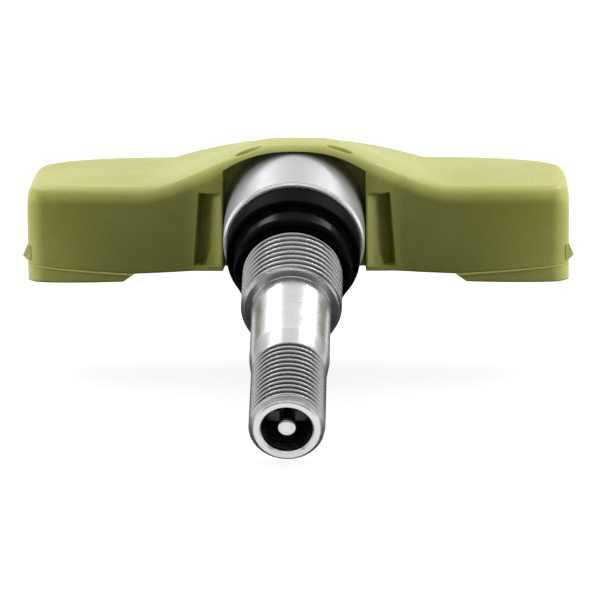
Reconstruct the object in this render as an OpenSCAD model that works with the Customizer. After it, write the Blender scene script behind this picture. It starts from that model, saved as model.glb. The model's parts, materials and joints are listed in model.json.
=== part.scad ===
// Valve-mounted tyre pressure sensor: a gull-wing moulded housing on a turned clamp-in valve stem.
// Millimetres, +Z up, housing level. The stem points forward (-Y) and dips below that level.
// The origin is on the stem's axis, at the middle of the clamping thread.

/* [Stem] */
// Angle by which the stem dips below the level of the housing
stem_dip = 20; // [16:1:24]
// Diameter of the collar that seats in the housing
collar_d = 15.0; // [14.6:0.1:15.4]
// Length of the collar
collar_l = 8.3; // [7.6:0.1:9]
// Width of the bright chamfer at the collar's front edge
collar_chamfer = 0.35; // [0.1:0.05:0.4]
// Diameter over the clamping thread
shank_d = 10.5; // [10:0.1:11]
// Length of the shank, from the collar's front face
shank_l = 13.1; // [11.5:0.1:15]
// Chamfer at the shank's front end
shank_chamfer = 0.4; // [0.2:0.05:0.5]
// Step from the shank's thread down to the neck that carries the grommet
neck_step = 0.5; // [0.3:0.05:0.6]
// Bare neck between the grommet and the thread
neck_gap = 0.3; // [0.2:0.05:0.5]
// Diameter of the plain barrel
barrel_d = 8.2; // [8:0.1:9]
// Length of the plain barrel
barrel_l = 9.7; // [8:0.1:12]
// Length of the taper between the barrel and the valve thread
taper_l = 2.4; // [1.5:0.1:3]
// Diameter over the valve thread
valve_d = 7.7; // [7.6:0.05:7.8]
// Length of the valve end, thread and chamfer together
valve_l = 10.45; // [9:0.05:12]
// Length of the chamfer at the mouth
mouth_chamfer_l = 0.65; // [0.3:0.05:1]
// Width of the chamfer at the mouth
mouth_chamfer_w = 0.55; // [0.3:0.05:0.8]
// Diameter of the tail that is moulded into the housing
tail_d = 8.5; // [7.5:0.1:9]
// Length of the tail
tail_l = 4.7; // [4:0.1:5]
// Depth of the groove that locks the tail
tail_groove = 0.6; // [0.3:0.05:1]
// Diameter of the air hole through the collar's underside
vent_d = 2.2; // [1.5:0.1:3]

/* [Grommet] */
// Height of the nose over the shank's thread, which centres it in the wheel's hole
nose_wall = 1.0; // [0.8:0.05:1.2]
// Step of the flange over the nose
flange_step = 0.8; // [0.5:0.05:0.9]
// Thickness of the flange
flange_l = 2.9; // [2.2:0.1:3.4]
// Whole length of the grommet
grommet_l = 5.9; // [5:0.1:7]

/* [Valve core] */
// Diameter of the mouth's threaded bore
mouth_d = 5.2; // [5:0.05:5.4]
// Diameter of the bore at the lip
lip_d = 5.5; // [5.4:0.05:5.8]
// Depth of the threaded bore
mouth_depth = 9.5; // [9.3:0.1:9.8]
// Length of the conical seat below the thread
seat_l = 1.2; // [1:0.1:1.5]
// Diameter of the bore round the valve core
core_bore_d = 3.8; // [3.7:0.1:4]
// Depth of the bore round the valve core
core_bore_depth = 20.5; // [20:0.1:21]
// Diameter of the air bore behind the valve core
air_bore_d = 3.0; // [2.5:0.1:3.4]
// Depth of the core's ears below the mouth
ears_depth = 2.7; // [2.6:0.1:3]
// Height of the ears
ears_h = 1.5; // [1:0.1:1.6]
// Distance between the ears
ears_gap = 1.6; // [1.4:0.1:1.8]
// Length of the core's threaded plug
plug_l = 2.7; // [2.2:0.1:3]
// Diameter of the core's barrel
core_d = 3.0; // [2.9:0.05:3.1]
// Diameter of the pin's button
pin_button_d = 1.9; // [1.7:0.1:2.1]
// Diameter of the pin
pin_d = 0.8; // [0.7:0.05:0.9]
// Depth of the pin's face below the mouth
pin_depth = 0.35; // [0.2:0.05:0.45]
// Travel of the pin when it is pressed
pin_travel = 1.2; // [0.8:0.1:1.2]
// Length of the core, from its ears to its lower rim
core_l = 13.8; // [13.5:0.1:14]
// Diameter of the spring's wire
spring_wire = 0.16; // [0.12:0.02:0.2]
// Number of the spring's turns
spring_turns = 7; // [5:1:9]

/* [Housing] */
// Wall in front of the chambers
front_wall = 2.05; // [1.8:0.05:2.6]
// Wall behind the chambers
rear_wall = 1.6; // [1.4:0.05:2.4]
// Wall at the ends of the wings
end_wall = 1.4; // [1.2:0.05:2.2]
// Distance of the front wall behind the collar's front centre
front_setback = 3.2; // [2.8:0.1:3.6]
// Height of the wings' top over the stem's centre
wing_top = 5.35; // [5.2:0.05:5.8]
// Depth of the base below the stem's centre, at the feet
base_drop = 3.84; // [3.6:0.02:4]
// Depth of the base below the stem's centre, at the collar
arch_drop = 3.4; // [3.2:0.05:3.6]
// Depth of the feet below the stem's centre, at their inner edges
foot_drop = 4.75; // [4.6:0.05:5]
// Further drop of the feet at the wings' ends
foot_fall = 0.5; // [0:0.05:0.6]
// Rise of the saddle over the wings, at its front
saddle_rise = 4.75; // [4.6:0.05:5]
// Rise of the saddle over the wings, at its rear
rear_rise = 2.05; // [1.5:0.05:3]
// Half width of the saddle's crest
saddle_crest = 3; // [2:0.5:4]
// Half width of the saddle at its foot
saddle_foot = 17; // [15:0.5:18]
// Half width of the saddle's foot at the rear
rear_foot = 13.6; // [13:0.2:16]
// Radius of the soft edge along the top of the front wall
crease_r = 1.8; // [1.4:0.1:2]
// Radius of the soft edge along the top of the rear wall
rear_edge_r = 1.5; // [1:0.1:1.8]
// Radius of the soft edge along the top of each end
end_edge_r = 1.3; // [1:0.1:1.4]
// Radius of the front corners in plan
front_corner_r = 1.8; // [1.4:0.1:2.4]
// Radius of the rear corners in plan
rear_corner_r = 3.6; // [3:0.1:4]
// How far the front wall sweeps back at the ends
front_sweep = 2.6; // [1.5:0.1:2.8]
// How far the rear wall sweeps in at the ends
rear_sweep = 3.0; // [1.5:0.1:3.2]
// How far the hood over the collar stands in front of the wings
hood_out = 0.6; // [0.3:0.05:0.8]
// Wall over the battery and the electronics
roof_wall = 1.3; // [1:0.1:1.4]
// Inner edge of each foot, from the centre plane
foot_inner = 17.1; // [16.5:0.1:18]
// Rise of the joint between housing and cover towards the ends
joint_rise = 0.55; // [0.3:0.05:0.8]

/* [Recesses] */
// Half width of the recess round the collar
recess_half_w = 7.6; // [7.56:0.02:7.7]
// Depth of the recess behind the front wall
recess_depth = 2.2; // [1.6:0.1:2.6]
// Height of the recess's shoulders over the stem's centre
shoulder_z = 7.35; // [7:0.05:7.6]
// Height of the recess's roof over the stem's centre
roof_z = 9.42; // [9.3:0.02:9.5]
// Outer edge of the pockets beside the recess
pocket_outer = 10.2; // [9.8:0.1:10.4]
// How far the pockets widen towards their foot
pocket_flare = 0.6; // [0:0.1:0.8]
// Depth of the pockets at their outer edge
pocket_depth = 2.1; // [1.5:0.1:2.4]
// Height of the pockets' top over the stem's centre
pocket_top = 4.95; // [4.5:0.05:5.2]
// Height of the lip under the pockets
pocket_lip = 0.45; // [0.3:0.05:0.6]
// Length of the slots behind the saddle's ridge
slot_l = 3.0; // [2:0.1:3.4]
// Width of those slots
slot_w = 0.7; // [0.4:0.1:1]
// Height by which the nibs stand out of the ends
nib_out = 0.5; // [0.3:0.05:0.8]

/* [Battery and electronics] */
// Diameter of the coin cell
cell_d = 16; // [15.4:0.1:16]
// Thickness of the coin cell
cell_t = 3.2; // [2.5:0.1:3.2]
// Room round the coin cell
cell_room = 0.325; // [0.2:0.025:0.5]
// Inner wall of the chambers, from the centre plane
chamber_inner = 10.7; // [10.5:0.1:10.9]
// Width of the circuit board along X
board_w = 16.9; // [16:0.1:17.5]
// Corner radius of the chambers
chamber_corner = 4.4; // [4:0.1:5]
// Thickness of the covers inside the chambers
cover_plate = 1.2; // [1:0.1:1.4]
// Thickness of the circuit board
board_t = 1.0; // [0.8:0.1:1.2]
// Width of the ledge that the circuit board rests against
ledge_w = 1.0; // [0.6:0.1:1.2]
// Thickness of the battery's tabs
tab_t = 0.2; // [0.1:0.05:0.2]
// Width of the battery's tabs
tab_w = 1.2; // [1:0.1:1.6]
// Diameter of the pressure port in the cover
port_d = 1.6; // [1:0.1:2]
// Side of the pressure sensor
sensor_w = 5.0; // [4:0.1:6]
// Side of the controller chip
chip_w = 6.0; // [5:0.1:6.4]
// Height of the receiving coil
coil_h = 2.3; // [1.8:0.1:2.3]

/* [Clearances] */
// Gap round pieces that are moulded in or pushed in
fit_gap = 0.03; // [0.02:0.01:0.05]
// Gap round pieces that slide
slide_gap = 0.06; // [0.04:0.01:0.08]
// Gap round pieces that drop into a chamber
drop_gap = 0.15; // [0.1:0.05:0.2]

/* [Hidden] */
$fn = 96;
// Overshoot of cutting shapes past the faces they cut, and a length beyond the whole part
over = 0.5;
far = 60;
olive = [0.74, 0.75, 0.45];

// Outer sizes of the housing, from what it holds
cell_chamber_x = cell_d + 2 * cell_room;
board_chamber_x = board_w + 2 * drop_gap;
chamber_y = cell_chamber_x;
wing_left = chamber_inner + cell_chamber_x + end_wall;
wing_right = chamber_inner + board_chamber_x + end_wall;
housing_depth = front_wall + chamber_y + rear_wall;
chamber_mid_y = front_setback + front_wall + chamber_y / 2;
cell_x = -(chamber_inner + cell_chamber_x / 2);
board_x = chamber_inner + board_chamber_x / 2;

// Diameters of the grommet, from the shank that it sits on
grommet_nose_d = shank_d + 2 * nose_wall;
grommet_d = grommet_nose_d + 2 * flange_step;

// Lengths along the stem, from the collar's front face
neck_r = shank_d / 2 - neck_step;
thread_start = grommet_l + neck_gap;
thread_end = shank_l - shank_chamfer;
frame_at = (thread_start + thread_end) / 2;
stem_l = shank_l + barrel_l + taper_l + valve_l;
barrel_end = shank_l + barrel_l;
ears_top = stem_l - ears_depth;
plug_top = ears_top - ears_h;
plug_bottom = plug_top - plug_l;
core_bottom = ears_top - core_l;
seat_top = stem_l - mouth_depth;
seat_bottom = seat_top - seat_l;
gasket_lift = 0.6;
gasket_top = seat_top + gasket_lift;
gasket_bottom = seat_bottom + gasket_lift;
flange_t = 0.6;
core_wall = 0.6;

// The spring stands between a ledge in the barrel and the pin's flange; pressed in full it keeps some slack
pin_flange_l = 0.4;
pin_flange_bottom = gasket_top + 0.5;
spring_slack = 3.1;
spring_ledge = pin_flange_bottom - pin_travel - spring_slack - (spring_turns + 1) * spring_wire;

// The cup holds its seal against the barrel's lower rim
seal_t = 0.5;
seal_r = core_d / 2 - 0.25;
rim_r = seal_r - 0.05;
cup_floor = 0.4;
cup_wall = 0.22;
cup_top = core_bottom - 0.1;
cup_bottom = core_bottom - seal_t - cup_floor;
tail_stop_l = 0.4;
tail_stop_w = 0.3;

// Heights over the stem's centre at the collar's front face
roof_in = wing_top - roof_wall;
board_under = 0;
board_top = board_under + board_t;
cell_under = roof_in - drop_gap - tab_t - cell_t;
plate_top = -base_drop + cover_plate;
sensor_t = 1.8;

// Strips from the cell to the board, behind the stem's tail
strip_pitch = 2;
duct_half = tab_w / 2 + strip_pitch / 2 + 0.5;
duct_shift = 1;
duct_y = chamber_mid_y + chamber_y / 2 - chamber_corner + duct_shift;
strip_low_y = duct_y - strip_pitch / 2;
strip_high_y = duct_y + strip_pitch / 2;

function blend(a, b, t) = a + (b - a) * t;
function smooth(a, b, v) = let(t = max(0, min(1, (v - a) / (b - a)))) t * t * (3 - 2 * t);
// Setback of a round corner of radius r at the distance e from its end
function corner(e, r) = e >= r ? 0 : r - sqrt(max(0, r * r - (r - e) * (r - e)));
function reach(x) = x < 0 ? wing_left : wing_right;
function from_end(x) = max(0, reach(x) - abs(x));

// Plan of the housing: its front and rear walls at x
sweep_start = 12;
wing_fall = 0.15;
function sweep(x) = pow(max(0, abs(x) - sweep_start) / (reach(x) - sweep_start), 3);
hood_foot = 11.6;
function hood(x) = hood_out * (1 - smooth(recess_half_w, hood_foot, abs(x)));
function front_y(x) = front_setback - hood(x)
    + front_sweep * sweep(x) + corner(from_end(x), front_corner_r);
function rear_y(x) = front_setback + housing_depth
    - rear_sweep * sweep(x) - corner(from_end(x), rear_corner_r);

// Crown of the housing: the gull wings and the saddle that fades towards the rear
saddle_ridge_y = 4;
saddle_back = front_setback + saddle_ridge_y;
function rise_front(x) = saddle_rise * (1 - smooth(saddle_crest, saddle_foot, abs(x)));
function rise_rear(x) = rear_rise * max(0, 1 - pow(x / rear_foot, 2));
function crown_z(x, y) = wing_top
    + blend(rise_front(x), rise_rear(x), smooth(saddle_back, front_setback + housing_depth, y))
    - wing_fall * sweep(x) - corner(from_end(x), end_edge_r);

// One section of the housing's outer form, from the front's foot over the crown to the rear's foot
form_floor = -foot_drop - foot_fall - over;
arc_steps = 5;
crown_steps = 9;
function section(x) =
    let(yf = front_y(x), yr = rear_y(x),
        ya = yf + crease_r, yb = yr - rear_edge_r,
        za = crown_z(x, ya), zb = crown_z(x, yb))
    concat(
        [[x, yf, form_floor]],
        [for (i = [0:arc_steps]) let(a = 90 * i / arc_steps)
            [x, ya - crease_r * cos(a), za - crease_r + crease_r * sin(a)]],
        [for (i = [1:crown_steps - 1]) let(y = blend(ya, yb, i / crown_steps)) [x, y, crown_z(x, y)]],
        [for (i = [0:arc_steps]) let(a = 90 * i / arc_steps)
            [x, yb + rear_edge_r * sin(a), zb - rear_edge_r + rear_edge_r * cos(a)]],
        [[x, yr, form_floor]]);

// Stations along the housing, close together round the ends
end_steps = 7;
mid_steps = 26;
function end_step(i) = rear_corner_r * (1 - cos(90 * i / end_steps));
stations = concat(
    [for (i = [0:end_steps]) -wing_left + end_step(i)],
    [for (i = [1:mid_steps - 1])
        blend(-wing_left + rear_corner_r, wing_right - rear_corner_r, i / mid_steps)],
    [for (i = [end_steps:-1:0]) wing_right - end_step(i)]);

// Closed skin through rings of points, with its first and last rings as flat ends
function ring_faces(rings, n) = [for (i = [0:rings - 2]) for (j = [0:n - 1])
    let(k = (j + 1) % n, a = i * n + j, b = i * n + k, c = (i + 1) * n + k, d = (i + 1) * n + j)
    each [[a, b, c], [a, c, d]]];
function end_faces(rings, n) = [[for (j = [n - 1:-1:0]) j], [for (j = [0:n - 1]) (rings - 1) * n + j]];

module outer_form() {
    rings = [for (x = stations) section(x)];
    n = len(rings[0]);
    polyhedron([for (r = rings) each r],
        concat(ring_faces(len(rings), n), end_faces(len(rings), n)), convexity = 8);
}

// Places children on the stem's axis, their Z pointing out of the mouth
module on_stem(at = 0) rotate([90 + stem_dip, 0, 0]) translate([0, 0, at]) children();

// Moves the whole model from the collar's front centre to the origin
module in_frame() translate([0, frame_at * cos(stem_dip), frame_at * sin(stem_dip)]) children();

// Extrudes an outline in X and Z through the whole depth
module through_depth() translate([0, far, 0]) rotate([90, 0, 0]) linear_extrude(2 * far) children();

// Turned shape from [radius, length] pairs
module turned(profile) rotate_extrude() polygon(profile);

// Rectangle with round corners, centred
module round_rect(w, d, r) {
    square([w - 2 * r, d], center = true);
    square([w, d - 2 * r], center = true);
    for (sx = [-1, 1]) for (sy = [-1, 1]) translate([sx * (w / 2 - r), sy * (d / 2 - r)]) circle(r);
}

module chamber(x, w, inset, z0, z1)
    translate([x, chamber_mid_y, z0])
        linear_extrude(z1 - z0) round_rect(w - 2 * inset, chamber_y - 2 * inset, chamber_corner - inset);

// Underside of the housing: concave base between the feet, sloping joints above them
joint_end = wing_right + end_wall;
joint_run = (joint_end - foot_inner) / (wing_left - foot_inner);
joint_z = -base_drop + joint_rise * joint_run;
arch_edge = 8;
module below_housing() through_depth()
    polygon([[-joint_end, joint_z], [-foot_inner, -base_drop], [-arch_edge, -arch_drop],
             [arch_edge, -arch_drop], [foot_inner, -base_drop], [joint_end, joint_z],
             [joint_end, -far], [-joint_end, -far]]);

// Band of the outer form that belongs to one cover, side -1 left and 1 right
foot_step = 1.25;
module cover_band(side) through_depth() scale([side, 1])
    polygon([[foot_inner, -base_drop], [joint_end, joint_z],
             [joint_end, -foot_drop - foot_fall * joint_run],
             [foot_inner + foot_step, -foot_drop]]);

// Recess round the collar, with sloping shoulders and an arched roof
roof_half = 3.3;
roof_arch = 0.27;
roof_arc_r = (roof_half * roof_half + roof_arch * roof_arch) / (2 * roof_arch);
module collar_recess() translate([0, front_setback + recess_depth, 0]) rotate([90, 0, 0])
    linear_extrude(far)
        polygon(concat([[recess_half_w, -far], [recess_half_w, shoulder_z]],
            [for (x = [roof_half:-roof_half / 4:-roof_half])
                [x, roof_z - roof_arc_r + sqrt(roof_arc_r * roof_arc_r - x * x)]],
            [[-recess_half_w, shoulder_z], [-recess_half_w, -far]]));

// Seats of the collar and of the grooved tail
tail_ring = tail_l / 3;
function tail_profile(gap) =
    let(r = tail_d / 2 + gap, r_groove = r - tail_groove,
        z_end = -collar_l - tail_l, z_low = z_end + tail_ring + gap, z_high = -collar_l - tail_ring - gap)
    [[0, z_end - gap], [r, z_end - gap], [r, z_low], [r_groove, z_low], [r_groove, z_high], [r, z_high],
     [r, -collar_l], [0, -collar_l]];
module stem_seat() on_stem() {
    translate([0, 0, -collar_l]) cylinder(d = collar_d + 2 * fit_gap, h = far);
    turned(tail_profile(fit_gap));
}

// Pocket beside the recess: deep at its outer edge, running out to a thin pillar at its inner edge
pillar_w = 0.2;
module pocket(side) scale([side, 1, 1]) intersection() {
    foot_x = pocket_outer + pocket_flare;
    inner_x = recess_half_w + pillar_w;
    z0 = -arch_drop + pocket_lip;
    translate([0, 0, z0]) linear_extrude(pocket_top - z0)
        polygon([[foot_x, -far], [foot_x, front_setback + pocket_depth],
                 [inner_x, front_setback - hood_out], [inner_x, -far]]);
    through_depth() polygon([[inner_x - over, z0 - over], [foot_x, z0 - over],
                             [pocket_outer, pocket_top + over], [inner_x - over, pocket_top + over]]);
}

// Gusset that flares out of the pillar at the foot of the pocket
gusset_top = 2.8;
gusset_w = 1.5;
gusset_d = 2.4;
module pocket_gusset(side) scale([side, 1, 1]) {
    x = recess_half_w + pillar_w / 2;
    y = front_setback - hood_out + pillar_w / 2;
    z = -arch_drop;
    polyhedron([[x, y, gusset_top], [x, y, z], [x + gusset_w, y + over, z], [x + gusset_w, y + gusset_d, z],
                [x, y + gusset_d, z], [x, y + gusset_d / 2, gusset_top - over]],
        [[0, 1, 2], [0, 2, 3], [0, 3, 5], [5, 3, 4], [0, 5, 4], [0, 4, 1], [1, 4, 3], [1, 3, 2]]);
}

// Lens-shaped slot behind the ridge of the saddle
slot_x = 4.9;
slot_back = 0.9;
slot_y = front_setback + crease_r + slot_back;
slot_depth = 0.5;
slot_arc_r = (slot_l * slot_l + slot_w * slot_w) / (4 * slot_w);
slot_tilt = 17;
module ridge_slot(side) scale([side, 1, 1])
    translate([slot_x, slot_y, crown_z(slot_x, slot_y)]) rotate([0, slot_tilt, 0])
        translate([0, 0, -slot_depth]) linear_extrude(slot_depth + over) intersection() {
            translate([0, slot_arc_r - slot_w / 2]) circle(slot_arc_r);
            translate([0, slot_w / 2 - slot_arc_r]) circle(slot_arc_r);
        }

// Pointed nib at the end of a wing
nib_low = -2.95;
nib_h = 1.6;
nib_tip = 0.4;
nib_l = 2;
nib_setback = 1.4;
nib_y = front_setback + front_sweep + nib_setback;
module end_nib(side) translate([side * (reach(side) - over), nib_y + nib_l / 2, nib_low])
    rotate([90, 0, 0]) linear_extrude(nib_l) scale([side, 1])
        polygon([[0, nib_h], [over, nib_h], [over + nib_out, nib_tip], [over, 0], [0, 0]]);

// Duct for the strips between the two chambers, through their round corners and open at the board's edge
duct_room = 0.6;
duct_end = chamber_inner + chamber_corner;
module strip_duct() translate([-duct_end, duct_y - duct_half, board_under - duct_room])
    cube([2 * duct_end, 2 * duct_half, board_t + 2 * duct_room]);

module housing() color(olive) in_frame() difference() {
    union() {
        outer_form();
        end_nib(-1);
        end_nib(1);
    }
    below_housing();
    collar_recess();
    stem_seat();
    chamber(cell_x, cell_chamber_x, 0, -far, roof_in);
    chamber(board_x, board_chamber_x, 0, -far, board_top);
    chamber(board_x, board_chamber_x, ledge_w, -far, roof_in);
    strip_duct();
    for (side = [-1, 1]) {
        difference() {
            pocket(side);
            pocket_gusset(side);
        }
        ridge_slot(side);
    }
}

// Foot of one wing: a wedge that closes the chamber, flush with the housing's walls
module cover_body(side, x, w) {
    intersection() {
        outer_form();
        cover_band(side);
    }
    chamber(x, w, drop_gap, -base_drop, plate_top);
}

// The battery's cover carries crossed ribs that hold the cell up
rib_w = 1.2;
rib_inset = 3;
module battery_cover() color(olive) in_frame() {
    cover_body(-1, cell_x, cell_chamber_x);
    for (a = [0, 90]) translate([cell_x, chamber_mid_y, plate_top]) rotate([0, 0, a + 45])
        translate([-cell_d / 2 + rib_inset, -rib_w / 2, 0])
            cube([cell_d - 2 * rib_inset, rib_w, cell_under - tab_t - plate_top]);
}

// The electronics cover carries four posts that hold the board against its ledge, and the pressure port
post_d = 1.8;
post_inset_x = 3;
post_inset_y = 1.6;
post_x = board_chamber_x / 2 - post_inset_x;
post_y = chamber_y / 2 - post_inset_y;
port_shift = 1.5;
port_x = board_x + port_shift;
port_y = chamber_mid_y - port_shift;
membrane_d = 3.2;
membrane_t = 0.2;
membrane_recess = 0.5;
module electronics_cover() color(olive) in_frame() difference() {
    union() {
        cover_body(1, board_x, board_chamber_x);
        for (sx = [-1, 1]) for (sy = [-1, 1])
            translate([board_x + sx * post_x, chamber_mid_y + sy * post_y, plate_top])
                cylinder(d = post_d, h = board_under - plate_top);
    }
    translate([port_x, port_y, -far]) cylinder(d = port_d, h = 2 * far);
    translate([port_x, port_y, -far])
        cylinder(d = membrane_d + 2 * fit_gap, h = far - foot_drop + membrane_recess);
}

module port_membrane() color("white") in_frame()
    translate([port_x, port_y, -foot_drop + membrane_recess - membrane_t])
        cylinder(d = membrane_d, h = membrane_t);

gasket_wall = 1;
module port_gasket() color([0.1, 0.1, 0.1]) in_frame() translate([port_x, port_y, plate_top]) difference() {
    cylinder(d = port_d + 2 * fit_gap + 2 * gasket_wall, h = board_under - sensor_t - plate_top);
    translate([0, 0, -over]) cylinder(d = port_d + 2 * fit_gap, h = far);
}

sensor_hole_d = 1;
sensor_hole_depth = 0.8;
module pressure_sensor() color([0.12, 0.12, 0.13]) in_frame() difference() {
    translate([port_x - sensor_w / 2, port_y - sensor_w / 2, board_under - sensor_t])
        cube([sensor_w, sensor_w, sensor_t]);
    translate([port_x, port_y, board_under - sensor_t - over])
        cylinder(d = sensor_hole_d, h = over + sensor_hole_depth);
}

// Circuit board, with two notches in its outer edge
notch_d = 1.2;
notch_pitch = 6;
module circuit_board() color([0.1, 0.35, 0.2]) in_frame() difference() {
    chamber(board_x, board_chamber_x, drop_gap, board_under, board_top);
    for (sy = [-1, 1])
        translate([board_x + board_chamber_x / 2, chamber_mid_y + sy * notch_pitch / 2, board_under - over])
            cylinder(d = notch_d, h = board_t + 2 * over);
}

// Places on the board, from its centre
chip_t = 1.0;
chip_shift = 2.2;
chip_x = board_x - chip_shift;
chip_y = chamber_mid_y + chip_shift;
module controller_chip() color([0.12, 0.12, 0.13]) in_frame()
    translate([chip_x - chip_w / 2, chip_y - chip_w / 2, board_top]) cube([chip_w, chip_w, chip_t]);

crystal_w = 3.2;
crystal_d = 2.5;
crystal_t = 0.8;
crystal_corner = 0.4;
crystal_shift = 3.3;
module crystal() color("silver") in_frame()
    translate([board_x + crystal_shift, chamber_mid_y + crystal_shift, board_top]) linear_extrude(crystal_t)
        round_rect(crystal_w, crystal_d, crystal_corner);

cap_w = 1.25;
cap_l = 2.0;
cap_t = 0.9;
cap_pitch = 1.8;
cap_shift = 1.4;
module chip_capacitors() color([0.72, 0.6, 0.42]) in_frame()
    for (i = [0:2]) translate([board_x + cap_shift + i * cap_pitch, chamber_mid_y - cap_l / 2, board_top])
        cube([cap_w, cap_l, cap_t]);

// Receiving coil: a bobbin-shaped ferrite with its winding
coil_shift_x = -0.6;
coil_setback = 3.925;
coil_x = board_x + coil_shift_x;
coil_y = chamber_mid_y - chamber_y / 2 + coil_setback;
coil_l = 8;
coil_w = 2.6;
coil_flange = 1.0;
coil_waist = 0.7;
coil_step = 0.15;
module coil_core() color([0.2, 0.2, 0.22]) in_frame() translate([coil_x, coil_y, board_top]) {
    for (sx = [-1, 1]) translate([sx * (coil_l - coil_flange) / 2 - coil_flange / 2, -coil_w / 2, 0])
        cube([coil_flange, coil_w, coil_h]);
    translate([-coil_l / 2 + coil_flange / 2, -coil_w / 2 + coil_waist, coil_waist])
        cube([coil_l - coil_flange, coil_w - 2 * coil_waist, coil_h - 2 * coil_waist]);
}

module coil_winding() color([0.72, 0.4, 0.2]) in_frame() translate([coil_x, coil_y, board_top]) {
    w = coil_w - 2 * coil_step;
    l = coil_l - 2 * coil_flange;
    difference() {
        translate([-l / 2, -w / 2, coil_step]) cube([l, w, coil_h - 2 * coil_step]);
        translate([-l, -coil_w / 2 + coil_waist, coil_waist])
            cube([2 * l, coil_w - 2 * coil_waist, coil_h - 2 * coil_waist]);
    }
}

// Stamped loop that stands on the board round three of its sides
loop_t = 0.3;
loop_h = 2.0;
loop_inset = 1.9;
loop_corner = 2.6;
module loop_antenna() color([0.8, 0.72, 0.5]) in_frame() {
    w = board_chamber_x - 2 * loop_inset;
    d = chamber_y - 2 * loop_inset;
    translate([board_x, chamber_mid_y, board_top]) {
        difference() {
            linear_extrude(loop_h) difference() {
                round_rect(w, d, loop_corner);
                round_rect(w - 2 * loop_t, d - 2 * loop_t, loop_corner - loop_t);
            }
            translate([-w, -d, -over]) cube([w, 2 * d, loop_h + 2 * over]);
        }
    }
}

// Coin cell: a can round a slightly smaller lid, which faces down
cell_lid_step = 0.8;
cell_lid_t = 0.35;
module battery() color([0.8, 0.8, 0.82]) in_frame() translate([cell_x, chamber_mid_y, cell_under]) {
    cylinder(d = cell_d - 2 * cell_lid_step, h = cell_t);
    translate([0, 0, cell_lid_t]) cylinder(d = cell_d, h = cell_t - cell_lid_t);
}

// Strip over the cell, down beside it and through the duct onto the board
riser_gap = 0.3;
riser_x = cell_x + sqrt(cell_d * cell_d / 4 - pow(strip_high_y - tab_w / 2 - chamber_mid_y, 2)) + riser_gap;
tab_on_board = 1.6;
tab_step_back = 0.6;
module battery_tab_positive() color([0.85, 0.82, 0.7]) in_frame() {
    y0 = strip_high_y - tab_w / 2;
    z_top = cell_under + cell_t;
    x_end = chamber_inner + drop_gap + tab_on_board;
    translate([cell_x, y0, z_top]) cube([riser_x + tab_t - cell_x, tab_w, tab_t]);
    translate([riser_x, y0, board_top]) cube([tab_t, tab_w, z_top + tab_t - board_top]);
    translate([riser_x, y0, board_top]) cube([x_end - riser_x, tab_w, tab_t]);
}

module battery_tab_negative() color([0.85, 0.82, 0.7]) in_frame() {
    y0 = strip_low_y - tab_w / 2;
    z0 = cell_under - tab_t;
    step_x = -chamber_inner + tab_step_back;
    x_end = chamber_inner + drop_gap + tab_on_board;
    translate([cell_x, y0, z0]) cube([step_x + tab_t - cell_x, tab_w, tab_t]);
    translate([step_x, y0, min(z0, board_under - tab_t)])
        cube([tab_t, tab_w, abs(z0 - board_under + tab_t) + tab_t]);
    translate([step_x, y0, board_under - tab_t]) cube([x_end - step_x, tab_w, tab_t]);
}

// Stem turned from one bar: tail, collar, shank, barrel and valve end, with its stepped bore
bore_end = -collar_l / 2;
module valve_stem() color([0.8, 0.8, 0.82]) in_frame() on_stem() difference() {
    union() {
        turned(concat(tail_profile(0), [[0, 0]]));
        turned([[0, -collar_l], [collar_d / 2, -collar_l], [collar_d / 2, -collar_chamfer],
                [collar_d / 2 - collar_chamfer, 0], [neck_r, 0], [neck_r, thread_start],
                [shank_d / 2, thread_start], [shank_d / 2, thread_end],
                [shank_d / 2 - shank_chamfer, shank_l], [barrel_d / 2, shank_l], [barrel_d / 2, barrel_end],
                [valve_d / 2, barrel_end + taper_l], [valve_d / 2, stem_l - mouth_chamfer_l],
                [valve_d / 2 - mouth_chamfer_w, stem_l], [0, stem_l]]);
    }
    turned([[0, bore_end], [air_bore_d / 2, bore_end], [air_bore_d / 2, stem_l - core_bore_depth],
            [core_bore_d / 2, stem_l - core_bore_depth], [core_bore_d / 2, seat_bottom],
            [mouth_d / 2, seat_top], [mouth_d / 2, stem_l - (lip_d - mouth_d) / 2],
            [lip_d / 2, stem_l], [lip_d / 2, stem_l + over], [0, stem_l + over]]);
    translate([0, 0, bore_end + vent_d / 2]) rotate([90, 0, 0]) cylinder(d = vent_d, h = collar_d);
}

// Rubber grommet: thick flange and a nose that rounds down to the shank
nose_r = 1.0;
flange_edge_back = 0.15;
flange_edge_front = 0.35;
module grommet() color([0.06, 0.06, 0.07]) in_frame() on_stem() {
    r_in = neck_r + fit_gap;
    r_nose = grommet_nose_d / 2;
    turned(concat([[r_in, 0], [grommet_d / 2 - flange_edge_back, 0], [grommet_d / 2, flange_edge_back],
        [grommet_d / 2, flange_l - flange_edge_front],
        [grommet_d / 2 - flange_edge_front, flange_l],
        [r_nose, flange_l]],
        [for (a = [0:15:75]) [r_nose - nose_r + nose_r * cos(a), grommet_l - nose_r + nose_r * sin(a)]],
        [[r_in, grommet_l]]));
}

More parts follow.
